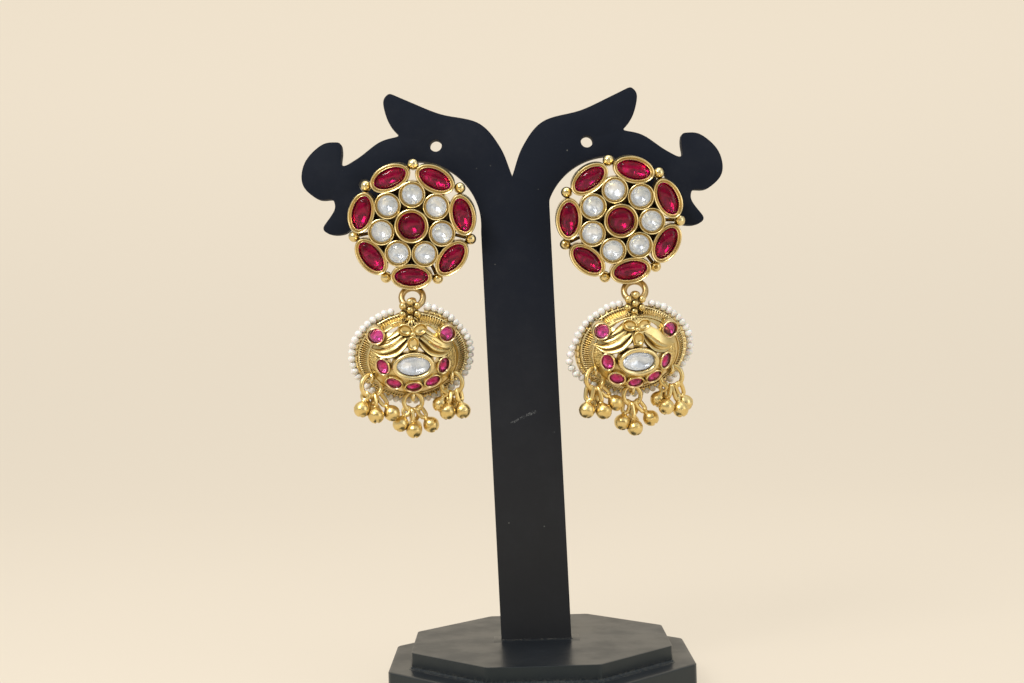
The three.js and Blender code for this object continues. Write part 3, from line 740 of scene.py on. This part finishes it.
def pitted_ball(radius, centre):
    """A hollow bead whose drawn hole faces forwards."""
    section = [(0.03, -0.99), (0.4, -0.92), (0.75, -0.66), (0.96, -0.28), (1, 0.05), (0.93, 0.37),
               (0.74, 0.67), (0.5, 0.86), (0.38, 0.9), (0.3, 0.8), (0.24, 0.45), (0.03, 0.3)]
    return moved(turned([(radius * r, radius * h) for r, h in section], 22), shift(*centre))


def stud(side):
    upright, place = stud_matrix(side), stud_matrix(side, STUD.tilt)
    add = piece_maker(side, "stand", place)
    ovals, crystals = petal_places(STUD.oval_circle, 0.5), petal_places(STUD.crystal_circle)
    rim = shift(0, 0, STUD.foot)
    add("oval_bezels", copies(moved(collet(**vars(OVAL)), rim), ovals), ANTIQUE, ["stud_frame"])
    sheet = closing_plate(OVAL.rx - OVAL.wall / 2, OVAL.ry - OVAL.wall / 2, STUD.foot + 0.2)
    add("oval_backs", copies(sheet, ovals), ANTIQUE)
    add("crystal_bezels", copies(moved(collet(**vars(CRYSTAL)), rim), crystals), ANTIQUE)
    add("centre_bezel", [moved(collet(**vars(CENTRE)), rim)], ANTIQUE)
    plate = [(0.02, 0), (0.9, 0), (0.98, 0.15), (1, 0.4), (0.98, 0.8), (0.9, 1), (0.02, 1)]
    add("back_plate", [turned(plate, 56, STUD.plate, STUD.plate)], DARK_GOLD)
    stud_wires(add, side)
    stud_link_and_post(add, side, upright)
    stud_stones(add, side, ovals, crystals)


def stud_wires(add, side):
    """The wire behind the petals, its struts, and the balls between the petals."""
    balls = petal_places(STUD.ball_circle)
    wires = [tube(circle_path(STUD.tie_circle, 70), STUD.tie_wire, 8, loop=True)]
    for k, m in enumerate(balls):
        inwards = -5.2 if k in LONG_STRUTS else -1.4
        wires.append(moved(tube([(0, inwards, 0.35), (0, inwards / 2, 0.5), (0, 0.2, 0.9)], 0.42, 8), m))
    add("tie_wires", [moved(together(wires), shift(0, 0, 0.45))], DARK_GOLD)
    grains = []
    for k, m in enumerate(balls):
        lift = (0, 0, 1.75)
        pitted = side == "right" and k in (3, 5)
        shape = pitted_ball(STUD.ball, lift) if pitted else ball(STUD.ball, lift, 1, 24, 14)
        grains += [moved(shape, m), moved(turned([(0.9, 0.1), (1.0, 0.3), (0.6, 0.9), (0.5, 1.2)], 16), m)]
    add("stud_beads", grains, ANTIQUE)


def stud_link_and_post(add, side, upright):
    link = tube(circle_path(LINK.radius, 64), LINK.wire, 14, loop=True, flat=1.15)
    top = shift(0, -LINK.centre - LINK.radius, LINK.depth)
    lean = top @ rotation("X", -LINK.lean) @ shift(0, LINK.radius, 0)
    add("link", [moved(link, lean)], LINK_GOLD, matrix=upright)
    out = POST.out if side == "right" else -POST.out
    foot = Matrix.Rotation(-asin(upright[2][0]), 4, "Z") @ Vector((out, POST.up, 0))
    front = POST.up * sin(radians(STUD.tilt)) + STUD.forward
    post = turned([(0.3, 1 - POST.length), (POST.radius, 1.4 - POST.length),
                   (POST.radius, front), (1.1, front + 0.2), (1.1, front + 0.6)], 20)
    add("post", [moved(post, shift(*foot))], ANTIQUE, matrix=upright)


def stud_stones(add, side, ovals, crystals):
    """The rubies and crystals with the foils under them."""
    lip = STUD.foot + OVAL.height
    rx, ry = OVAL.rx - OVAL.wall, OVAL.ry - OVAL.wall
    stone = cabochon(rx - 0.1, ry - 0.06, lip - 1.75, 1.15, 0.9)
    for k, m in enumerate(ovals):
        add(f"ruby_stone_{k + 1}", [moved(stone, m)], RUBY, [f"ruby_{k + 1}"], 50)
    foils = copies(foil_cup(rx + 0.02, ry + 0.02, lip - 2, 1.5), ovals)
    lip = STUD.foot + CENTRE.height
    radius = CENTRE.rx - CENTRE.wall
    stone = cabochon(radius - 0.1, radius - 0.1, lip - 1.85, 1.2, 1.0)
    add("ruby_stone_centre", [stone], RUBY, ["ruby_centre"], 50)
    foils.append(foil_cup(radius + 0.02, radius + 0.02, lip - 2.1, 1.6))
    add("red_foils", foils, RED_FOIL, smooth=60)
    lip = STUD.foot + CRYSTAL.height
    radius = CRYSTAL.rx - CRYSTAL.wall
    for k, m in enumerate(crystals):
        stone = cut_stone(radius - 0.06, 0.75, 0.7, 9, 0.7 * k + (side == "right"))
        lean = rotation("X", 3.5 * sin(2.1 * k)) @ rotation("Y", 3.5 * cos(1.7 * k))
        set_in = m @ shift(0, 0, lip - 1.55) @ lean
        add(f"kundan_{k + 1}", [moved(stone, set_in)], CLEAR, [f"crystal_{k + 1}"], 0)
    silver = foil_cup(radius + 0.02, radius + 0.02, lip - 1.8, 1.0)
    add("silver_foils", copies(silver, crystals), SILVER_FOIL, smooth=60)


def post_nut(side):
    """The ribbed clutch pushed on the post behind the board."""
    low, high = node_box(f"{side}_post_nut")
    middle = (low + high) / 2
    turn = angles(48)
    section = [(0.35, 0), (0.85, 0), (1, 0.12), (1, 0.3), (0.9, 0.42), (0.9, 0.58), (1, 0.7), (1, 0.88),
               (0.85, 1), (0.35, 1)]
    rings = []
    for share, height in section:
        ribs = NUT.radius * share * (1 + 0.02 * (share > 0.95) * np.cos(turn * 12))
        rings.append(ring(ribs, height * NUT.thickness, turn))
    place = shift(middle.x, high.y, middle.z) @ rotation("X", 90)
    add = piece_maker(side, "stand", place)
    add("clutch", [loft(rings, loop=True)], ANTIQUE, ["post_nut"], 40)


# ---- drop: dome and brim

def drop_matrix(side):
    """From the frame of the drop's face (x right, y up along the rim, z out of it) to the row frame."""
    tilted = rotation("Z", DROP.yaw[side]) @ rotation("X", DROP.tilt + 90)
    return shift(*hinge(side)) @ tilted @ shift(0, -DROP.hinge, 0)


DOME_CURVE = spline(DOME_SECTION, 10)
DOME_FOOT = DOME_SECTION[-1][1] - 1.1


def dome_height(x, y):
    """Height of the dome's outside over a point of the face."""
    reach = np.hypot(x, np.asarray(y) / DROP.aspect)
    return np.interp(reach, DOME_CURVE[:, 0], DOME_CURVE[:, 1], right=DOME_FOOT)


def on_dome(x, y, lift=0.0):
    return np.array([x, y, float(dome_height(x, y)) + lift])


# The opening under the white stone, and the punched crescents beside the flutes.
SEAT = [(4 * cos(a), -0.5 + 2.4 * sin(a)) for a in angles(40)]
CRESCENT = [(10.85 * cos(a), 8.82 * sin(a)) for a in np.radians(np.linspace(20, -27, 14))]
CRESCENT += [(8.8, -3.4), (8.35, -1.8), (8.3, 0), (8.7, 1.5), (9.4, 2.8)]


def mirrored(outline):
    return [(-x, y) for x, y in outline]


def turned_oval(x, y, rx, ry, degrees):
    """The outline of an oval on the face of the drop."""
    c, s = cos(radians(degrees)), sin(radians(degrees))
    around = [(rx * cos(a), ry * sin(a)) for a in angles(24)]
    return [(x + u * c - v * s, y + u * s + v * c) for u, v in around]


def off_centre(outlines, side):
    """The outlines moved with the raised parts of the dome."""
    across, up = OFF_CENTRE[side]
    return [[(x + across, y + up) for x, y in outline] for outline in outlines]


CUT = [way for outline in OPENINGS for way in (outline, mirrored(outline))]
CUT += [SEAT] + [turned_oval(*seat) for seat in SMALL_SEATS]
CUTS = {side: off_centre(CUT, side) for side in SIDES}
PUNCHED = {side: off_centre([CRESCENT, mirrored(CRESCENT)], side) for side in SIDES}


def inside(x, y, outline):
    """Whether points lie inside an outline."""
    odd = np.zeros(x.shape, bool)
    for (xa, ya), (xb, yb) in zip(outline, outline[1:] + outline[:1]):
        crosses = (ya > y) != (yb > y)
        at = (xb - xa) * (y - ya) / ((yb - ya) or 1e-9) + xa
        odd ^= crosses & (x < at)
    return odd


def inside_any(x, y, outlines):
    return np.any([inside(x, y, outline) for outline in outlines], axis=0)


def nearest_on(outlines, x, y):
    """The nearest point to (x, y) on any of the outlines, after how far away it is."""
    best = (1e9, x, y)
    for outline in outlines:
        line = np.array(outline)
        step = np.roll(line, -1, 0) - line
        share = ((np.array((x, y)) - line) * step).sum(1) / (step ** 2).sum(1)
        near = line + step * np.clip(share, 0, 1)[:, None]
        far = np.hypot(near[:, 0] - x, near[:, 1] - y)
        k = int(far.argmin())
        best = min(best, (far[k], near[k][0], near[k][1]))
    return best


def cell_middles(grid):
    """The mean of the four corners of each cell of a grid whose columns close on themselves."""
    beside = np.roll(grid, -1, 1)
    return (grid[:-1] + grid[1:] + beside[:-1] + beside[1:]) / 4


def pierced_dome(side, punched):
    """The dome's wall, plain or punched part, with both faces and the cut edges between them."""
    around, out, snap = 300, 66, 0.16
    turn = angles(around)
    radii = np.linspace(0.15, BRIM.inner, out)
    x = np.outer(radii, np.cos(turn))
    y = np.outer(radii, np.sin(turn)) * DROP.aspect
    middle = cell_middles(x), cell_middles(y)
    kind = np.where(inside_any(*middle, CUTS[side]), 2, np.where(inside_any(*middle, PUNCHED[side]), 1, 0))
    for i in range(1, out - 1):
        for j in range(around):
            if len({kind[i - 1, j], kind[i, j], kind[i - 1, j - 1], kind[i, j - 1]}) > 1:
                far, near_x, near_y = nearest_on(CUTS[side] + PUNCHED[side], x[i, j], y[i, j])
                if far < snap:
                    x[i, j], y[i, j] = near_x, near_y
    kept = kind == (1 if punched else 0)
    top = np.stack([x, y, dome_height(x, y)], 2)
    slope = np.linspace(0, 0.95, out)[:, None]
    inward = np.stack([-np.cos(turn) * slope * 0.6, -np.sin(turn) * slope * 0.6,
                       -np.ones((out, around)) * (1 - 0.3 * slope)], 2)
    points = np.vstack([top.reshape(-1, 3), (top + inward * DOME_WALL).reshape(-1, 3)])
    count = out * around
    faces = []
    for i, j in zip(*np.nonzero(kept)):
        k = (j + 1) % around
        a, b, c, d = i * around + j, i * around + k, (i + 1) * around + k, (i + 1) * around + j
        faces += [(a, b, c, d), (a + count, d + count, c + count, b + count)]
        if i == 0 or not kept[i - 1, j]:
            faces.append((b, a, a + count, b + count))
        if i == out - 2 or not kept[i + 1, j]:
            faces.append((d, c, c + count, d + count))
        if not kept[i, j - 1]:
            faces.append((a, d, d + count, a + count))
        if not kept[i, k]:
            faces.append((c, b, b + count, c + count))
    used = sorted({k for face in faces for k in face})
    renumber = {old: new for new, old in enumerate(used)}
    return points[used], [tuple(renumber[k] for k in face) for face in faces]


def brim():
    """The sloping brim: fluted in its middle, plain at its outer edge, with a raised line inside."""
    turn = angles(BRIM.flutes * 6)
    groove = np.cos(turn * BRIM.flutes)
    drop = BRIM.inner_up - BRIM.outer_up
    lines = []
    for share, flute, lift in BRIM_SECTION:
        height = BRIM.inner_up - drop * share + lift + flute * BRIM.depth * (groove - 1)
        lines.append((BRIM.inner + (BRIM.outer - BRIM.inner) * share, height))
    under = [(radius - 0.15, np.mean(height) - BRIM.wall)
             for radius, height in (lines[-1], lines[5], lines[0])]
    lines += [(BRIM.outer + 0.08, BRIM.outer_up - 0.25), *under]
    rings = [ring(radius, height, turn, ry=DROP.aspect) for radius, height in lines]
    return loft(np.swapaxes(np.array(rings), 0, 1), loop=True)


# ---- drop: leaves and flower

def leaf(way, line, half_width, height, section, base):
    """A raised leaf lying on the dome along a curve, mirrored to the left when way is -1."""
    curve = spline([(way * x, y) for x, y in line], 9)
    ahead = np.gradient(curve, axis=0)
    ahead /= np.linalg.norm(ahead, axis=1, keepdims=True)
    across = np.stack([-ahead[:, 1], ahead[:, 0]], 1) * way
    shares = np.linspace(0, 1, len(curve))
    widths = np.interp(shares, *zip(*half_width))
    heights = np.interp(shares, *zip(*height))
    rings = []
    for point, side_way, wide, high in zip(curve, across, widths, heights):
        edge = [on_dome(*(point + side_way * u * wide), lift=h * high) for u, h in section]
        edge += [on_dome(*(point + side_way * u * wide * 0.9), lift=base) for u in (1, 0, -1)]
        rings.append(edge)
    return loft(rings)


def flower():
    """The three petals, the bead between them, and the spray of slim leaves above."""
    parts = []
    for x, y, rx, ry, turn, lean_x, lean_y in FLOWER:
        lean = rotation("Y", lean_y) @ rotation("X", lean_x) @ rotation("Z", turn)
        parts.append(moved(turned(PETAL, 30, rx, ry), shift(*on_dome(x, y, 1.3)) @ lean))
    parts.append(ball(0.72, (-0.1, 7.15, float(dome_height(0, 7.1)) + 1.6), 0.8))
    for foot, tip, thick in SPRAY:
        a, b = on_dome(*foot, 0.15), on_dome(*tip, 0.5)
        middle = (a + b) / 2 + (0, 0, 0.3)
        swell = np.interp(np.linspace(0, 1, 11), (0, 0.5, 1), (0.12, thick, 0.08))
        parts.append(tube(spline([a, middle, b], 5), swell, 10))
    return together(parts)


def rosette():
    parts = [ball(ROSETTE.ball, (0, ROSETTE.up, ROSETTE.out + 0.1), 1, 24, 14)]
    for turn in angles(6):
        x, y = ROSETTE.circle * sin(turn), ROSETTE.up + ROSETTE.circle * cos(turn)
        parts.append(ball(ROSETTE.ball * 0.98, (x, y, ROSETTE.out), 1, 22, 12))
    plate = turned([(0.3, 1.5), (1.7, 1.5), (2.1, 1.7), (2.1, 2.1), (1.7, 2.3), (0.3, 2.3)], 24)
    return together([*parts, moved(plate, shift(0, ROSETTE.up, 0))])


def eye():
    """The broad band that hangs on the wire of the link."""
    band = tube(circle_path(EYE.radius, 40, "yz"), EYE.thick, 14, loop=True,
                flat=EYE.wide / EYE.thick, side_hint=(1, 0, 0))
    return moved(band, shift(0, DROP.hinge, 0))


def crescent_borders(side):
    """A fine wire round each punched crescent."""
    curves = [spline(line, 2, loop=True) for line in PUNCHED[side]]
    return [tube([on_dome(x, y, 0.02) for x, y in curve], 0.13, 8, loop=True) for curve in curves]


# ---- drop: stones

def arc_places():
    return [shift(x, y, out) @ rotation("Y", lean_y) @ rotation("X", lean_x) @ rotation("Z", spin)
            for x, y, out, spin, lean_x, lean_y in ARC_STONES]


def drop_stones(side, place, body):
    """The settings of the drop, their closed backs, and the stones over their foils."""
    add = piece_maker(side, body, place)
    rounds = [shift(*where) for where in ROUND_STONES.values()]
    leaning = [m @ rotation("Y", copysign(ROUND_LEAN, m[0][3])) for m in rounds]
    white, small = [shift(*WHITE_STONE)], arc_places()

    def set_in(make, part, kinds, *more):
        return [one for setting, places in kinds for one in copies(make(*setting[part], *more), places)]

    kinds = [(WHITE_SETTING, white), (ROUND_SETTING, rounds), (SMALL_SETTING, small)]
    bezels = [kinds[0], (ROUND_SETTING, leaning), kinds[2]]
    add("drop_bezels", set_in(collet, "collet", bezels, SMALL_COLLET), ANTIQUE)
    add("drop_backs", set_in(closing_plate, "plate", kinds), ANTIQUE, smooth=40)
    add("white_stone", set_in(cabochon, "stone", kinds[:1]), CLEAR, ["dome_crystal"], 50)
    add("white_foil", set_in(foil_cup, "foil", kinds[:1]), SILVER_FOIL, smooth=60)
    for name, stone in zip(ROUND_STONES, set_in(cabochon, "stone", kinds[1:2])):
        add(f"round_ruby_{name}", [stone], ROSE, [f"dome_ruby_{name}"], 50)
    add("round_foils", set_in(foil_cup, "foil", kinds[1:2]), ROSE_FOIL, smooth=60)
    add("small_rubies", set_in(cabochon, "stone", kinds[2:]), PINK, smooth=50)
    add("drop_foils", set_in(foil_cup, "foil", kinds[2:]), RED_FOIL, smooth=60)


# ---- drop: pearls

def rim_point(degrees, circle):
    """A point beside the rim, by the angle clockwise from the top of the brim."""
    turn = radians(degrees)
    return np.array([circle * sin(turn), circle * cos(turn) * DROP.aspect, 0])


def rim_line(start, end, circle):
    return [rim_point(degrees, circle) for degrees in np.linspace(start, end, 120)]


def pearl_places(side):
    """Angles at which the pearls are strung, an even distance apart along the rim."""
    fine = np.linspace(0, 360, 1441)
    reach = lengths_along(np.array([rim_point(a, PEARLS.circle) for a in fine]))
    first, last = PEARLS.first[side]
    start, end = np.interp([first, 360 - last], fine, reach)
    count = round((end - start) / PEARLS.pitch)
    return np.interp(np.linspace(start, end, count + 1), reach, fine)


def upright_along(way):
    """The turn that takes the z axis to a direction."""
    return Vector(way).to_track_quat("Z", "Y").to_matrix().to_4x4()


def pearls(side, add):
    """The string of seed pearls, the wires that bind it, and the flanges between its two ends."""
    draw = np.random.default_rng(11 if side == "left" else 23)
    beads, wraps, flanges = [], [], []
    places = pearl_places(side)
    for degrees in places:
        slack = sum(most * exp(-((degrees - middle) / wide) ** 2) for middle, wide, most in SLACK[side])
        out = PEARLS.circle + slack + draw.normal(0, 0.07)
        size = PEARLS.radius * (1 + draw.normal(0, 0.05))
        centre = rim_point(degrees, out) + (0, 0, draw.normal(0, 0.08))
        bead = ball(size * 0.98, squash=1.1 + draw.normal(0, 0.04), sides=18, rings=12)
        beads.append(moved(bead, shift(*centre) @ upright_along(rim_point(degrees, 1))))
    for a, b in zip(places, places[1:]):
        degrees = (a + b) / 2
        near, far = rim_point(degrees, BRIM.outer - 0.1), rim_point(degrees, PEARLS.circle - 0.35)
        wraps.append(tube([near + (0, 0, 0.5), (near + far) / 2 + (0, 0, 0.45), far - (0, 0, 0.3)], 0.3, 8))
    band = rim_line(places[0] - 2, places[-1] + 2, BRIM.outer + 0.42)
    wraps.append(tube(band, 0.34, 10, flat=1.7, side_hint=(0.25, 1, 0)))
    thread = rim_line(places[0] - 3, places[-1] + 3, PEARLS.circle)
    wraps.append(tube(thread, 0.14, 6))
    for degrees, broad in [(way * turn, broad) for way in (-1, 1) for turn, broad in FLANGES]:
        a, b = rim_point(degrees, BRIM.outer - 0.6), rim_point(degrees, BRIM.outer + 0.15)
        flanges.append(tube([a, (a + b) / 2, b], broad / 4, 8, flat=2.1, side_hint=(1, 0, 0)))
    add("seed_pearls", beads, PEARL, ["pearl_string"])
    add("pearl_wires", wraps, ANTIQUE)
    add("brim_flanges", flanges, DARK_GOLD)


# ---- drop: little bells

def bell(centre, up, turn):
    """A little bell hung by its neck, with its seam and the slit across its foot."""
    radius = BELL.radius
    points, faces = turned([(r * radius, h * radius) for r, h in BELL_SECTION], 26)
    slit = (points[:, 2] < -0.3 * radius) & (np.abs(points[:, 1]) < 0.16 * radius)
    points[slit, 2] += 0.14 * radius
    return moved((points, faces), shift(*centre) @ upright_along(up) @ rotation("Z", turn))


def wire_loop(top, foot, twist):
    """A long closed wire link from the ring down to the neck of a bell."""
    down = (foot - top).normalized()
    length = (foot - top).length + BELL.loop_wire
    across = down.cross(Vector((0, 1, 0))).normalized()
    across = Matrix.Rotation(radians(twist), 3, down) @ across
    half, straight = BELL.loop_half, length / 2 - BELL.loop_half
    path = []
    for turn in angles(36):
        s, c = sin(turn), cos(turn)
        wide = half * (1 - 0.22 * (s + 1) / 2) * c
        fall = straight * np.clip(2.2 * s, -1, 1) + half * s * 0.9
        path.append(tuple((top + foot) / 2 + across * wide + down * fall))
    return tube(path, BELL.loop_wire, 10, loop=True, side_hint=tuple(down.cross(across)))


def bunch(side, spec, body):
    """A jump ring with its four bells, hanging straight down from a loop of the dome."""
    loop_centre = drop_matrix(side) @ Vector((spec["x"], spec["y"] + BUNCH_LIFT, spec["out"]))
    radius = spec["ring"]
    jump_ring = tube(circle_path(radius, 48, "xz"), BELL.ring_wire, 12, loop=True, side_hint=(0, 1, 0))
    hang = shift(0, 0, 0.75) @ rotation("Z", spec["ring_turn"]) @ shift(0, 0, -radius)
    parts = [moved(jump_ring, hang)]
    bells = sorted(spec[side], key=lambda one: one[0])
    for angle, (x, y, down, twist) in zip(np.radians(np.linspace(-38, 38, len(bells))), bells):
        on_ring = hang @ Vector((radius * sin(angle), 0, -radius * cos(angle)))
        centre = Vector((x, y, -down))
        up = (on_ring - centre).normalized()
        parts.append(wire_loop(on_ring + up * 0.3, centre + up * BELL.radius * BELL.neck, twist))
        parts.append(bell(centre, up, twist))
    add = piece_maker(side, body, shift(*loop_centre) @ rotation("Z", DROP.yaw[side]))
    add(f"bells_{spec['name']}", parts, BRIGHT, [f"ghungroos_{spec['name']}"])


def drop_loops():
    """The small rings under the dome that carry the jump rings."""
    places = [shift(spec["x"], spec["y"], spec["out"]) for spec in BUNCHES]
    return copies(tube(circle_path(1.1, 28, "yz"), 0.45, 10, loop=True), places)


def drop(side):
    place, body = drop_matrix(side), f"{side}_drop"
    add = piece_maker(side, body, place)
    raised = place @ shift(*OFF_CENTRE[side], 0)
    worked = raised @ shift(-0.3 * (side == "right"), 0, 0)
    add("dome_shell", [pierced_dome(side, punched=False)], RELIEF, ["dome"], 45)
    add("dome_crescents", [pierced_dome(side, punched=True)], STIPPLED, smooth=45)
    add("crescent_borders", crescent_borders(side), RELIEF, smooth=60)
    add("brim", [brim()], ANTIQUE, smooth=60)
    add("leaves", [leaf(way, *kind) for kind in LEAVES for way in (-1, 1)], RELIEF, (), 60, worked)
    add("flower", [flower()], RELIEF, (), 50, worked)
    add("rosette", [rosette()], RELIEF, matrix=place @ shift(-0.85, -0.1, 0))
    add("eye", [eye()], ANTIQUE)
    add("drop_loops", drop_loops(), ANTIQUE, matrix=place @ shift(0, BUNCH_LIFT, 0))
    drop_stones(side, raised, body)
    pearls(side, add)
    for spec in BUNCHES:
        bunch(side, spec, body)


# ---- stage, lights and camera

VIEW = Sizes(x=-0.0012, y=-0.366, z=0.0873, roll=1.6, lens=51.5)
CREAM = (0.80, 0.705, 0.565)
FLOOR = Sizes(front=-2.5, depth=0.9, height=1.6, bend=0.5, half=2.4)


def stage():
    """A plain pale floor that curves up behind the object."""
    depth, bend, half = FLOOR.depth, FLOOR.bend, FLOOR.half
    curve = [(depth - bend + bend * sin(a), bend - bend * cos(a))
             for a in np.linspace(0, pi / 2, 24)]
    line = [(FLOOR.front, 0), *curve, (depth, FLOOR.height)]
    points = [(x, y, z) for y, z in line for x in (-half, half)]
    faces = [(2 * k, 2 * k + 1, 2 * k + 3, 2 * k + 2) for k in range(len(line) - 1)]
    mesh = bpy.data.meshes.new("floor")
    mesh.from_pydata(points, [], faces)
    for face in mesh.polygons:
        face.use_smooth = True
    look = Look("floor_paper", None, roughness=0.9, specular_ior_level=0.1, emission_color=CREAM)
    tone = look.ramp(look.noise(3, 2), 0.3, 0.7)
    dark, light = (tuple(c * share for c in CREAM) for share in (0.295, 0.3))
    look.shade(base_color=look.mix(tone, dark, light),
               emission_strength=look.ramp(look.height(), 0, 0.35, 0.74, 0.85))
    mesh.materials.append(look.material)
    scene_object("floor", mesh)


def area_light(name, place, size, power, colour=(1, 1, 1)):
    """A rectangular light turned to the earrings."""
    data = bpy.data.lights.new(name, "AREA")
    data.shape = "RECTANGLE"
    data.size, data.size_y = size
    data.energy = power
    data.color = colour
    lamp = scene_object(name, data)
    lamp.location = place
    lamp.rotation_euler = (Vector((0, 0, 0.09)) - Vector(place)).to_track_quat("-Z", "Y").to_euler()


def world():
    """A grey room, bright above and at both sides."""
    made = bpy.data.worlds.new("studio")
    bpy.context.scene.world = made
    made.use_nodes = True
    sky = Nodes(made.node_tree)
    way = sky.node("SeparateXYZ", {0: sky.node("TexCoord").outputs["Generated"]})
    above = sky.ramp(way.outputs["Z"], -0.05, 0.75)
    beside = sky.ramp(sky.math("ABSOLUTE", way.outputs["X"]), 0.45, 0.95, 0, 0.75)
    share = sky.math("MAXIMUM", above, beside)
    background = made.node_tree.nodes["Background"]
    sky.put(background.inputs["Color"], sky.mix(share, (0.17, 0.17, 0.175), (1.0, 1.04, 1.1)))
    background.inputs["Strength"].default_value = 0.7


def camera():
    data = bpy.data.cameras.new("view")
    data.lens = VIEW.lens
    data.sensor_width = 36
    data.clip_start = 0.01
    made = scene_object("view", data)
    c, s = cos(radians(VIEW.roll)), sin(radians(VIEW.roll))
    made.matrix_world = Matrix(((c, s, 0, VIEW.x), (0, 0, -1, VIEW.y), (-s, c, 0, VIEW.z),
                                (0, 0, 0, 1)))
    bpy.context.scene.camera = made


# ---- the whole scene

stand()
for side in SIDES:
    stud(side)
    post_nut(side)
for side in SIDES:
    drop(side)
stage()
world()
camera()
area_light("key", (-0.3, -0.42, 0.5), (0.26, 0.26), 2.6, (1, 0.99, 0.98))
area_light("fill", (0.5, -0.35, 0.2), (0.3, 0.5), 0.7, (0.97, 0.98, 1))
area_light("top", (0, -0.1, 0.7), (0.5, 0.4), 1.3)
bpy.context.scene.view_settings.view_transform = "Standard"
